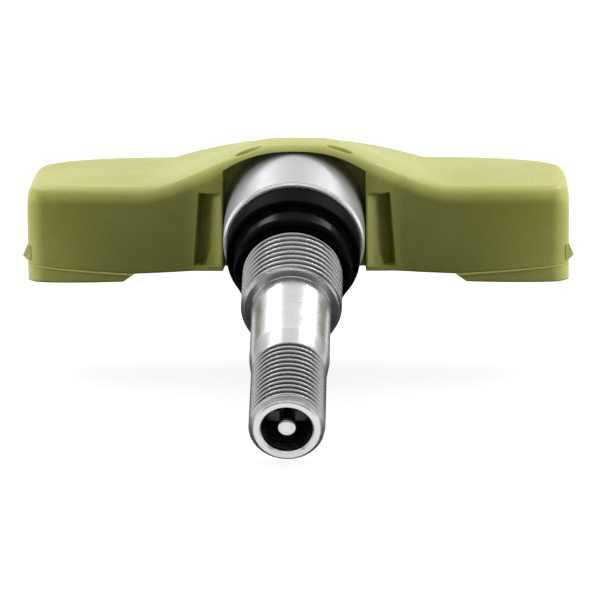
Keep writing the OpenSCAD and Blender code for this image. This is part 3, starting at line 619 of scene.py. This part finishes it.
def housingShell():
    # One ring for each station: up the front wall, over the crown, down the rear wall and back under
    # the base. The front's rows follow the pockets' edges and the recess's roof, where it steps back.
    h, r, p = housing, recess, pocket
    x = housingStations()
    width = np.abs(x)
    base = baseZ(x)
    wall = crownZ(x, frontY(x) + h["creaseR"]) - h["creaseR"] - base
    whole = wall + h["creaseR"] * np.pi / 2
    pocketTop = whole * byWidth(width, (p["high"] - base) / whole,
                                np.minimum(width, p["outer"] + p["flare"]))
    over = roofZ(np.minimum(width, r["halfWidth"])) - base
    alongRoof = np.where(over > wall, wall + h["creaseR"] * np.arcsin(
        np.clip((over - wall) / h["creaseR"], 0, 1)), over)
    roofEdge = np.where(width < r["halfWidth"], alongRoof,
                        whole * byWidth(width, alongRoof / whole, r["halfWidth"]))
    levels = [0 * x, p["low"] - base, pocketTop, roofEdge, whole]
    steps = [spaced((0, 4), (0.7, 4), (1, 0)), spaced((0, 4), (0.03, 30), (0.97, 5), (1, 0)),
             spaced((0, 3), (0.1, 8), (0.9, 5), (1, 0)), spaced((0, 5), (0.12, 14), (1, 0))]
    up = np.concatenate([low + (high - low) * share[:-1, None]
                         for low, high, share in zip(levels[:-1], levels[1:], steps)] + [whole[None]])

    # the pocket's outer edge leans outwards to its foot, and the stations near it lean with it
    lean = p["flare"] * np.clip((p["high"] - base - up) / (p["high"] - p["low"]), 0, 1)
    pull = np.interp(width, [p["inner"], p["outer"], p["leanEnd"]], [0, 1, 0])
    xs = np.sign(x) * (width + lean * pull)
    foot = frontY(xs)
    creaseTop = crownZ(xs, foot + h["creaseR"])
    turn = np.clip(up - wall, 0, None) / h["creaseR"]
    ys = foot + h["creaseR"] * (1 - np.cos(turn))
    zs = np.where(up < wall, base + up * (creaseTop - h["creaseR"] - base) / wall,
                  creaseTop - h["creaseR"] * (1 - np.sin(turn)))
    ys = ys + roundCorner(zs - base, h["baseEdge"])

    # pockets: a ramp from the pillar to the outer edge, with a gusset left standing at its foot
    inPocket = (smoothStep(p["outer"], p["outer"] - p["edge"], width)
                * smoothStep(p["inner"] - 0.01, p["inner"] + 0.01, width)
                * smoothStep(p["low"], p["low"] + p["edge"] / 2, zs)
                * smoothStep(p["high"], p["high"] - p["edge"], zs))
    ramp = (p["depth"] + h["hoodOut"]) * np.clip((width - p["inner"]) / (p["outer"] - p["inner"]), 0, 1)
    fall = np.clip((p["gussetTop"] - zs) / (p["gussetTop"] - p["low"]), 0, 1)
    gussetEdge = p["inner"] + p["gussetWidth"] * fall ** p["gussetCurve"]
    onGusset = smoothStep(*(gussetEdge + aside for aside in p["gussetFade"]), width) * (fall > 0)
    gusset = np.minimum(ramp, p["gussetSunk"] + p["gussetSlope"] * (width - p["inner"]))
    depth = ramp * (1 - onGusset) + gusset * onGusset
    ys = ys + np.maximum(0, h["frontY"] - h["hoodOut"] + depth - ys) * inPocket

    # slots and the hollow between them, pressed in square to the rounded edge
    sunk = slotDepth(width, whole - up)
    ys = ys + sunk * np.cos(turn)
    zs = zs - sunk * np.sin(turn)

    # recess: straight back to its rear face
    inRecess = (smoothStep(r["halfWidth"], r["halfWidth"] - r["edge"], width)
                * smoothStep(roofEdge, roofEdge - r["edge"], up))
    ys = ys + (r["backY"] - ys) * inRecess
    front = np.stack([xs, ys, zs], -1)

    # crown
    xs, yFront = xs[-1:], frontY(xs[-1:]) + h["creaseR"]
    yBack = rearY(xs) - h["rearEdgeR"]
    ys = yFront + (yBack - yFront) * spaced((0, 14), (0.08, 8), (0.25, 18), (1, 0))[1:, None]
    zs = crownZ(xs, ys) - slotDepth(np.abs(xs), yFront - ys)
    crown = np.stack([xs + 0 * ys, ys, zs], -1)

    # rear edge, rear wall and underside
    turn = np.linspace(0, np.pi / 2, 11)[1:, None]
    top = crownZ(xs, yBack) - h["rearEdgeR"]
    edge = np.stack([xs + 0 * turn, yBack + h["rearEdgeR"] * np.sin(turn),
                     top + h["rearEdgeR"] * np.cos(turn)], -1)
    zs = top + (base - top) * spaced((0, 10), (0.96, 4), (1, 0))[1:, None]
    rear = np.stack([xs + 0 * zs, yBack + h["rearEdgeR"] - roundCorner(zs - base, h["baseEdge"]), zs], -1)
    across = np.linspace(0, 1, 22)[1:-1, None]
    ys = rear[-1:, :, 1] + (front[:1, :, 1] - rear[-1:, :, 1]) * across
    under = np.stack([xs + 0 * ys, ys, base + 0 * ys], -1)
    return gridShell(closeEnds(np.concatenate([front, crown, edge, rear, under])), wrapRows=True)


def nibShell(side):
    # a pointed nib: its outline carried along the end of the wing, shorter towards its tip
    n = nib
    end = reach(np.array(side)) - n["sunk"]
    outline = np.array([[0, 0], [n["sunk"], 0], [n["sunk"] + n["out"] - 0.04, n["tip"] - 0.06],
                        [n["sunk"] + n["out"], n["tip"]], [n["sunk"] + n["out"] - 0.02, n["tip"] + 0.06],
                        [n["sunk"], n["height"]], [0, n["height"]]])
    shorter = n["taper"] * outline[:, :1] / (n["sunk"] + n["out"])
    ys = n["y"] + np.array([-1, -0.97, 0.97, 1]) * (n["length"] / 2 - shorter)
    ring = np.stack([side * (end + outline[:, :1] + 0 * ys), ys,
                     n["low"] + outline[:, 1:] + 0 * ys], -1)
    return gridShell(closeEnds(ring), wrapRows=True)


makePiece("housingShell", [housingShell(), nibShell(-1), nibShell(1)], olive,
          replaces=["housing"])
print("housing lofted")

# The covers under the wings

foot = {
    "inner": 17.1,
    "step": 1.25,                      # how far the foot's inner face slopes in
    "drop": 4.75,
    "fall": 0.5,
    "edge": 0.28,
    "proud": 0.13,                     # the joint's lip slopes out by this in front
    "proudBehind": 0.04,
    "lipHeight": 0.25,
}
plug = {
    "inner": 10.85,
    "leftWidth": 16.35,
    "rightWidth": 16.9,
    "bottom": -3.84,
    "top": -2.9,
    "corner": 4.25,
    "edge": 0.2,
    "frontWall": 2.2,
    "rearWall": 1.75,
    "corners": 96,
}
port = {
    "x": 20.8,
    "y": 12.075,
    "radius": 1.63,
    "floor": -4.23,
    "edge": 0.1,
    "finerLeft": 1.8,                  # the sole's mesh is finer up to here from the port's middle
    "finerRight": 2.0,
    "finerAlong": 2.2,
}


def footShell(side, hasPort):
    # A wedge between the joint's plane and the foot's sole, with a small lip along the joint. Rings go
    # down the front, back along the sole and up the rear; stations run from the sloping inner face to
    # the wing's end.
    h, f = housing, foot
    end = float(reach(np.array(side)))
    corner = end - h["rearCornerR"]
    top = np.concatenate([spaced((f["inner"], 10), (port["x"] - port["finerLeft"], 44),
                                 (port["x"] + port["finerRight"], 8), (corner, 0)),
                          wingStations(end, corner - 1, 2)[1:]])
    share = (top - f["inner"]) / (end - f["inner"])
    joint = baseZ(side * top)
    sole = -f["drop"] - f["fall"] * share
    quarter = np.linspace(0, np.pi / 2, 7)[:, None]

    def wallRows(yOf, outSign, proud):
        # down a wall: the lip, the wall itself and the round edge at the sole
        down = np.array([0, 0.5, 0.75, 1])[:, None] * f["lipHeight"]
        z = np.concatenate([joint - down, sole + f["edge"] * (1 - np.sin(quarter))])
        out = np.concatenate([[[0], [proud], [proud], [0]], -f["edge"] * (1 - np.cos(quarter))])
        lower = np.clip((joint - z) / (joint - sole), 0, 1)
        xs = side * (top + f["step"] * lower * (1 - share))
        return np.stack([xs, yOf(xs) + outSign * out, z], -1)

    front = wallRows(frontY, -1, f["proud"])
    rear = wallRows(rearY, 1, f["proudBehind"])[::-1]
    blocks = [spaced((0, 8), (1, 0)), spaced((0, 44 if hasPort else 6), (1, 0)), spaced((0, 8), (1, 0))]
    level = 0 * front[-1:, :, 1]
    edges = [front[-1:, :, 1], level + port["y"] - port["finerAlong"],
             level + port["y"] + port["finerAlong"], rear[:1, :, 1]]
    ys = np.concatenate([a + (b - a) * t[:-1, None]
                         for a, b, t in zip(edges[:-1], edges[1:], blocks)])[1:]
    xs = front[-1:, :, 0] + 0 * ys
    zs = sole + 0 * ys
    if hasPort:
        apart = np.hypot(xs - port["x"], ys - port["y"])
        zs = zs + (port["floor"] - zs) * smoothStep(port["radius"] + port["edge"] / 2,
                                                    port["radius"] - port["edge"] / 2, apart)
    under = np.stack([xs, ys, zs], -1)
    back = np.linspace(0, 1, 12)[1:-1, None]
    ys = rear[-1:, :, 1] + (front[:1, :, 1] - rear[-1:, :, 1]) * back
    above = np.stack([side * top + 0 * ys, ys, joint + 0 * ys], -1)
    return gridShell(closeEnds(np.concatenate([front, under, rear, above])), wrapRows=True)


def plugShell(side, width):
    # the plate that closes the chamber: rounded rectangles stacked from its middle below, over the
    # small round edge, to its middle above
    p = plug
    angle = np.linspace(0, 2 * np.pi, p["corners"], endpoint=False) + np.pi / p["corners"]
    turned = np.stack([np.cos(angle), np.sin(angle)], -1)
    low, high = housing["frontY"] + p["frontWall"], housing["rearY"] - p["rearWall"]
    middle = np.array([side * (p["inner"] + width / 2), (low + high) / 2])
    half = np.array([width, high - low]) / 2

    def ring(inset, shrink, z):
        corner = p["corner"] - inset
        outline = np.sign(turned) * (half - inset - corner) + turned * corner
        return np.c_[middle + outline * shrink, np.full(p["corners"], z)]

    quarter = np.linspace(0, np.pi / 2, 5)
    rings = [ring(p["edge"], shrink, p["bottom"]) for shrink in (0.001, 0.4, 0.8)]
    rings += [ring(p["edge"] * (1 - math.sin(t)), 1, p["bottom"] + p["edge"] * (1 - math.cos(t)))
              for t in quarter]
    rings += [ring(0, 1, p["top"]), ring(0, 0.001, p["top"])]
    return gridShell(np.array(rings), wrapColumns=True)


makePiece("batteryCover", [footShell(-1, False), plugShell(-1, plug["leftWidth"])], oliveCoverPaintedLit,
          replaces=["battery_cover"])
makePiece("electronicsCover", [footShell(1, True), plugShell(1, plug["rightWidth"])], oliveCoverPaintedLit,
          replaces=["electronics_cover"])
print("covers closed")

# The valve stem

stem = {
    "collarR": 7.5,
    "collarLength": 8.3,
    "collarChamfer": 0.25,
    "neckR": 4.75,
    "threadStart": 6.2,
    "shankR": 5.25,
    "threadEnd": 12.7,
    "shankEnd": 13.1,
    "barrelR": 4.1,
    "barrelEnd": 22.8,
    "valveR": 3.85,
    "valveStart": 25.2,
    "chamferStart": 35.0,
    "mouth": 35.65,
    "lipOuterR": 3.3,
    "lipInnerR": 2.75,
    "boreR": 2.6,
    "seatTop": 26.15,
    "seatBottom": 24.95,
    "coreBoreR": 1.9,
    "coreBoreEnd": 15.15,
    "airBoreR": 1.5,
    "boreEnd": -4.15,
    "tailR": 4.25,
    "tailGrooveR": 3.65,
    "tailGrooveFront": -9.87,
    "tailGrooveBack": -11.43,
    "tailEnd": -13.0,
    "shoulderR": 4.8,                  # where the shank's front edge ends
    "nick": 0.02,                      # the finest broken edge; wider ones are a few of it
    "bevel": 0.1,
    "turns": 144,
}


def threadGroove(thread, angle, length):
    # depth of a rounded V that climbs one pitch a turn, fading out over half a pitch at its ends
    phase = (length - thread["start"]) / thread["pitch"] - angle / (2 * np.pi)
    valley = 0.5 - 0.5 * np.cos(2 * np.pi * phase)
    fade = (smoothStep(thread["start"], thread["start"] + thread["pitch"] / 2, length)
            * smoothStep(thread["end"], thread["end"] - thread["pitch"] / 2, length))
    return thread["depth"] * valley ** 1.3 * fade


def stemCut(angle, length, radius):
    # outside, the surface is the lower one of the turned outline and the thread; inside, the bore's
    # thread is cut outwards from its crest
    cut = 0 * radius
    for thread in (shankThread, valveThread):
        onThread = ((radius > thread["crestR"] - 0.6) & (radius < thread["crestR"] + 0.01)
                    & (length > thread["start"]) & (length < thread["end"]))
        cut = np.where(onThread, np.maximum(0, radius - thread["crestR"]
                                            + threadGroove(thread, angle, length)), cut)
    inBore = np.abs(radius - boreThread["crestR"]) < 0.01
    return np.where(inBore, -threadGroove(boreThread, angle, length), cut)


def stemProfile():
    # from the middle of the tail's end over the outside to the mouth, and back down the stepped bore
    s, nick, bevel = stem, stem["nick"], stem["bevel"]
    rimR = s["collarR"] - s["collarChamfer"]
    return alongProfile(
        (0, s["tailEnd"], 3), (s["tailR"], s["tailEnd"], 2), (s["tailR"], s["tailGrooveBack"], 1),
        (s["tailGrooveR"], s["tailGrooveBack"], 1), (s["tailGrooveR"], s["tailGrooveFront"], 1),
        (s["tailR"], s["tailGrooveFront"], 2), (s["tailR"], -s["collarLength"], 3),
        (s["collarR"] - bevel, -s["collarLength"], 1), (s["collarR"], -s["collarLength"] + bevel, 12),
        (s["collarR"], -s["collarChamfer"] - bevel, 1), (s["collarR"], -s["collarChamfer"] - 2 * nick, 2),
        (s["collarR"] - nick, -s["collarChamfer"], 4), (rimR, -nick, 2), (rimR - 2 * nick, 0, 6),
        (s["neckR"], 0, 6), (s["neckR"], s["threadStart"], 2),
        (s["shankR"] - bevel / 2, s["threadStart"], 2), (s["shankR"], s["threadStart"] + bevel / 2, 190),
        (s["shankR"], s["threadEnd"], 14), (s["shoulderR"] + bevel / 2, s["shankEnd"] - nick, 2),
        (s["shoulderR"], s["shankEnd"], 6), (s["barrelR"] + 3 * nick, s["shankEnd"], 2),
        (s["barrelR"], s["shankEnd"] + 3 * nick, 20), (s["barrelR"], s["barrelEnd"] - 2 * nick, 2),
        (s["barrelR"] - nick / 2, s["barrelEnd"] + 2 * nick, 10), (s["valveR"], s["valveStart"], 176),
        (s["valveR"], s["chamferStart"], 8), (s["lipOuterR"] + 1.5 * nick, s["mouth"] - 1.5 * nick, 2),
        (s["lipOuterR"] - nick, s["mouth"], 4), (s["lipInnerR"] + 1.5 * nick, s["mouth"], 2),
        (s["lipInnerR"], s["mouth"] - 1.5 * nick, 2), (s["boreR"], s["mouth"] - 2 * bevel, 110),
        (s["boreR"], s["seatTop"], 4), (s["coreBoreR"], s["seatBottom"], 6),
        (s["coreBoreR"], s["coreBoreEnd"], 2), (s["airBoreR"], s["coreBoreEnd"], 6),
        (s["airBoreR"], s["boreEnd"], 3), (0, s["boreEnd"], 0))


makePiece("valveStem", [turnedShell(stemProfile(), stem["turns"], stemCut)], aluminium,
          replaces=["valve_stem"])
print("stem turned")

# The grommet

grommet = {
    "boreR": 4.8,
    "flangeR": 7.05,
    "flangeLength": 2.9,
    "noseR": 6.25,
    "length": 5.9,
    "noseRound": 1.0,
    "backEdge": 0.15,
    "frontEdge": 0.32,
    "fillet": 0.15,
}


def grommetProfile():
    # flange with small round edges, a fillet, and a nose that rounds down to the neck
    g = grommet
    t = np.linspace(0, np.pi / 2, 9)
    back = np.c_[g["flangeR"] - g["backEdge"] * (1 - np.sin(t)), g["backEdge"] * (1 - np.cos(t))]
    front = np.c_[g["flangeR"] - g["frontEdge"] * (1 - np.cos(t)),
                  g["flangeLength"] - g["frontEdge"] * (1 - np.sin(t))]
    fillet = np.c_[g["noseR"] + g["fillet"] * (1 - np.sin(t)),
                   g["flangeLength"] + g["fillet"] * (1 - np.cos(t))]
    nose = np.c_[g["noseR"] - g["noseRound"] * (1 - np.cos(t)),
                 g["length"] - g["noseRound"] * (1 - np.sin(t))]
    bore = np.array([[g["boreR"] + 0.02, g["length"]], [g["boreR"], g["length"] - 0.02], [g["boreR"], 0.02],
                     [g["boreR"] + 0.02, 0]])
    return np.concatenate([back, front, fillet, nose, bore])


makePiece("grommetRing", [turnedShell(grommetProfile(), 120, closed=True)], rubber,
          replaces=["grommet"])
print("grommet moulded")

# The pin of the valve core

pin = {
    "face": 35.3,
    "buttonR": 0.95,
    "buttonLength": 0.7,
    "edge": 0.26,
    "domed": 0.02,                     # how far the face falls from its middle to its round edge
    "shaftR": 0.4,
    "flangeR": 0.84,
    "flangeBottom": 27.25,
    "flangeLength": 0.4,
    "stopR": 0.7,
    "stopTop": 18.25,
    "stopLength": 0.4,
}


def pinProfile():
    # stop, shaft, spring flange, shaft and the button with its rounded face
    p = pin
    t = np.linspace(0, np.pi / 2, 7)
    rounded = np.c_[p["buttonR"] - p["edge"] * (1 - np.cos(t)),
                    p["face"] - p["domed"] - p["edge"] * (1 - np.sin(t))]
    under = p["face"] - p["buttonLength"]
    low = alongProfile(
        (0, p["stopTop"] - p["stopLength"], 2), (p["stopR"], p["stopTop"] - p["stopLength"], 1),
        (p["stopR"], p["stopTop"], 1), (p["shaftR"], p["stopTop"], 4), (p["shaftR"], p["flangeBottom"], 1),
        (p["flangeR"], p["flangeBottom"], 1), (p["flangeR"], p["flangeBottom"] + p["flangeLength"], 1),
        (p["shaftR"], p["flangeBottom"] + p["flangeLength"], 4), (p["shaftR"], under, 1),
        (p["buttonR"] - 0.05, under + 0.1, 1), (p["buttonR"], under + 0.2, 0))
    face = alongProfile((0.5, p["face"] - p["domed"] / 2, 2), (0.2, p["face"], 2), (0, p["face"], 0))
    return np.concatenate([low, rounded, face])


nickel = smallPaint("pinNickel", (0.76, 0.74, 0.7, 1.0), 0.28, metallic=1.0, grain=6.0, depth=0.004,
                    uneven=0.22)
makePiece("valvePin", [turnedShell(pinProfile(), 64)], nickel, body="valve_pin",
          replaces=["core_pin"])
print("pin turned")

# The spring under the pin's flange

spring = {
    "ledge": 21.67,                    # where it stands in the barrel
    "length": 5.58,
    "radius": 0.65,
    "wire": 0.16,
    "turns": 7,
    "steps": 24,                       # for each turn
    "sides": 10,
    "pressed": 1.2,                    # how much shorter it is with the pin pressed in
}


def springShell():
    # the wire's circle carried along a helix, whose angle grows evenly with the length
    s = spring
    turn = np.linspace(0, s["turns"], s["turns"] * s["steps"] + 1)
    turn = np.concatenate([turn[:1], turn, turn[-1:]])[:, None]
    thick = np.full(turn.shape, s["wire"] / 2)
    thick[[0, -1]] = 0
    around = np.linspace(0, 2 * np.pi, s["sides"], endpoint=False)
    radius = s["radius"] + thick * np.cos(around)
    length = (s["ledge"] + s["wire"] / 2 + (s["length"] - s["wire"]) * turn / s["turns"]
              + thick * np.sin(around))
    angle = 2 * np.pi * turn
    points = (radius * np.sin(angle))[..., None] * upNormal + length[..., None] * outward
    points[..., 0] += radius * np.cos(angle)
    return gridShell(points, wrapColumns=True)


steel = smallPaint("springSteel", (0.55, 0.55, 0.56, 1.0), 0.25, metallic=1.0)
coil = makePiece("coreSpring", [springShell()], steel, replaces=["core_spring"])
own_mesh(coil)
print("spring wound")

# Finishes of the pieces that keep their solids

brass = smallPaint("washedBrass", (0.72, 0.66, 0.5, 1.0), 0.3, metallic=1.0, grain=5.0)
# painted shade: the core's head is near-black, for the shade inside the mouth
paintedShadeBrass = smallPaint("paintedShadeBrass", (0.045, 0.043, 0.04, 1.0), 0.22, metallic=1.0, grain=5.0)
seals = smallPaint("sealRubber", linear(70, 30, 28), 0.5, grain=6.0)
cell = smallPaint("cellSteel", (0.75, 0.75, 0.76, 1.0), 0.28, metallic=1.0, grain=2.0)
strip = smallPaint("nickelStrip", (0.72, 0.7, 0.63, 1.0), 0.3, metallic=1.0)
laminate = smallPaint("boardLaminate", linear(30, 92, 58), 0.35, grain=3.0)
epoxy = smallPaint("chipEpoxy", linear(34, 34, 36), 0.6, grain=9.0, depth=0.01)
can = smallPaint("crystalCan", (0.78, 0.78, 0.76, 1.0), 0.22, metallic=1.0)
ceramic = smallPaint("capacitorCeramic", linear(176, 150, 112), 0.5, grain=6.0)
ferrite = smallPaint("pressedFerrite", linear(58, 58, 62), 0.55, grain=8.0, depth=0.01)
copper = smallPaint("windingCopper", (0.72, 0.33, 0.16, 1.0), 0.3, metallic=1.0, grain=8.0, depth=0.02)
loop = smallPaint("antennaBrass", (0.76, 0.67, 0.42, 1.0), 0.3, metallic=1.0)
film = smallPaint("membraneFilm", linear(232, 232, 230), 0.7, grain=12.0, depth=0.006)
finishes = {
    "core_head": paintedShadeBrass, "core_barrel": brass, "core_cup": brass,
    "core_gasket": seals, "core_cup_seal": seals, "port_gasket": seals,
    "battery": cell, "battery_tab_positive": strip, "battery_tab_negative": strip,
    "circuit_board": laminate, "pressure_sensor": epoxy, "controller_chip": epoxy, "crystal": can,
    "chip_capacitors": ceramic, "coil_core": ferrite, "coil_winding": copper, "loop_antenna": loop,
    "port_membrane": film,
}
for node, finish in finishes.items():
    frame["nodes"][node].data.materials.clear()
    frame["nodes"][node].data.materials.append(finish)
print("inner pieces finished")

# Camera

view = {
    "azimuth": math.radians(1.33),
    "elevation": math.radians(12.0),
    "roll": math.radians(0.35),
    "distance": 531.8,                 # millimetres, from the camera to the collar's front centre
    "focal": 5030.0,                   # in pixels
    "pictureSide": 600.0,
    "collarPixel": (293.8, 244.5),
}


def placeCamera():
    # the collar's front centre falls on its pixel: the camera stands back by the distance and aside
    # by the pixel's offset from the picture's middle
    v = view
    ahead = np.array([-math.sin(v["azimuth"]) * math.cos(v["elevation"]),
                      math.cos(v["azimuth"]) * math.cos(v["elevation"]), -math.sin(v["elevation"])])
    level = np.array([math.cos(v["azimuth"]), math.sin(v["azimuth"]), 0.0])
    above = np.cross(level, ahead)
    right = level * math.cos(v["roll"]) - above * math.sin(v["roll"])
    up = above * math.cos(v["roll"]) + level * math.sin(v["roll"])
    perPixel = v["distance"] / v["focal"]
    aside = (v["collarPixel"][0] - v["pictureSide"] / 2) * perPixel
    lift = (v["pictureSide"] / 2 - v["collarPixel"][1]) * perPixel
    place = toFrame(-(ahead * v["distance"] + right * aside + up * lift))
    camera = bpy.data.objects.new("camera", bpy.data.cameras.new("camera"))
    camera.data.sensor_width = 36.0
    camera.data.lens = v["focal"] / v["pictureSide"] * camera.data.sensor_width
    camera.data.clip_start = 0.01
    camera.data.clip_end = 20.0
    rows = [[right[k], up[k], -ahead[k], place[k]] for k in range(3)]
    camera.matrix_world = Matrix(rows + [[0, 0, 0, 1]])
    bpy.context.scene.collection.objects.link(camera)
    bpy.context.scene.camera = camera


placeCamera()

# Floor, world and lamps

studio = {
    "floorWhite": (0.3, 0.3, 0.3, 1.0),
    "floorGlow": 0.78,                 # what the floor adds of its own for the camera and in gloss
    "floorDull": (0.16, 0.16, 0.16, 1.0),
    "floorSide": 3.0,                  # metres, as all lengths here
    "floorBelow": 0.5 * mm,            # under the part
    "flagBelow": 0.3 * mm,
    "frontFlag": (-0.5, -0.046, 0.3),  # near edge, far edge and half width; it ends before the mouth
    "underFlag": (-0.0232, 0.09, 0.05),
    "cardWide": 1.3,
    "cardHigh": 1.4,
    "cardY": -0.75,
}


def addSheet(name, corners, material):
    mesh = bpy.data.meshes.new(name)
    mesh.from_pydata(corners, [], [(0, 1, 2, 3)])
    mesh.materials.append(material)
    sheet = bpy.data.objects.new(name, mesh)
    bpy.context.scene.collection.objects.link(sheet)
    return sheet


def layFloor():
    # for the camera and in gloss it is white and keeps the shadow; as a source of light it is dull
    paint = Paint("paleFloor")
    seen = paint.rays("Is Camera Ray", "Is Glossy Ray", "Is Transmission Ray")
    plain = paint.add("ShaderNodeBsdfDiffuse", {}, studio["floorWhite"])
    glow = paint.add("ShaderNodeEmission", {}, (1, 1, 1, 1), studio["floorGlow"])
    lit = paint.add("ShaderNodeAddShader", {}, plain, glow)
    dull = paint.add("ShaderNodeBsdfDiffuse", {}, studio["floorDull"])
    both = paint.add("ShaderNodeMixShader", {}, seen, dull, lit)
    paint.add("ShaderNodeOutputMaterial", {}, Surface=both)
    side, z = studio["floorSide"], cadBox[0][2] - studio["floorBelow"]
    addSheet("floor", [(-side, -side, z), (side, -side, z), (side, side, z), (-side, side, z)],
             paint.holder)


def setCards():
    # Dark cards that the camera does not see. One stands behind it and keeps light off the front;
    # two lie on the floor, only for gloss, and draw the stem's edges and its rubber dark.
    black = smallPaint("cardBlack", linear(20, 20, 20), 0.9)
    wide, high, y = studio["cardWide"], studio["cardHigh"], studio["cardY"]
    low = cadBox[0][2]
    cards = [addSheet("standingCard", [(-wide, y, low), (wide, y, low), (wide, y, high), (-wide, y, high)],
                      black)]
    z = low - studio["flagBelow"]
    for name in ("frontFlag", "underFlag"):
        near, far, half = studio[name]
        flag = addSheet(name, [(-half, near, z), (half, near, z), (half, far, z), (-half, far, z)], black)
        flag.visible_shadow = False
        flag.visible_diffuse = False
        cards.append(flag)
    for card in cards:
        card.visible_camera = False


def lightWorld():
    # a plain white room
    world = bpy.data.worlds.new("studio")
    bpy.context.scene.world = world
    paint = Paint("studio", world)
    white = paint.add("ShaderNodeBackground", {}, (1, 1, 1, 1), 1.0)
    paint.add("ShaderNodeOutputWorld", {}, white)


def addLamp(name, place, aim, size, power, diffuse=True, gloss=True):
    # a soft panel at a place in metres, turned to its aim; it may light only diffuse or only gloss
    lamp = bpy.data.lights.new(name, "AREA")
    lamp.shape = "RECTANGLE"
    lamp.size, lamp.size_y = size
    lamp.energy = power
    lampObject = bpy.data.objects.new(name, lamp)
    lampObject.location = place
    lampObject.rotation_euler = (Vector(aim) - Vector(place)).to_track_quat("-Z", "Y").to_euler()
    lampObject.visible_diffuse = diffuse
    lampObject.visible_glossy = gloss
    bpy.context.scene.collection.objects.link(lampObject)


layFloor()
setCards()
lightWorld()
addLamp("overhead", (0, 0.1, 0.6), (0, 0, 0), (0.6, 0.4), 0.3)
addLamp("leftStrip", (-0.26, 0.38, 0.42), (0, 0, 0), (0.055, 0.3), 0.66)
addLamp("rightStrip", (0.3, 0.34, 0.4), (0, 0, 0), (0.055, 0.3), 0.75)
addLamp("leftPanel", (-0.5, 0.03, 0.12), (0, 0, 0), (0.4, 0.3), 1.7, gloss=False)
addLamp("rightPanel", (0.5, 0.03, 0.12), (0, 0, 0), (0.4, 0.3), 1.9, gloss=False)
addLamp("frontStrip", (0, -0.47, 0.37), (0, 0, 0), (1.3, 0.1), 0.8, diffuse=False)
bpy.context.scene.view_settings.view_transform = "Standard"
print("studio lit")
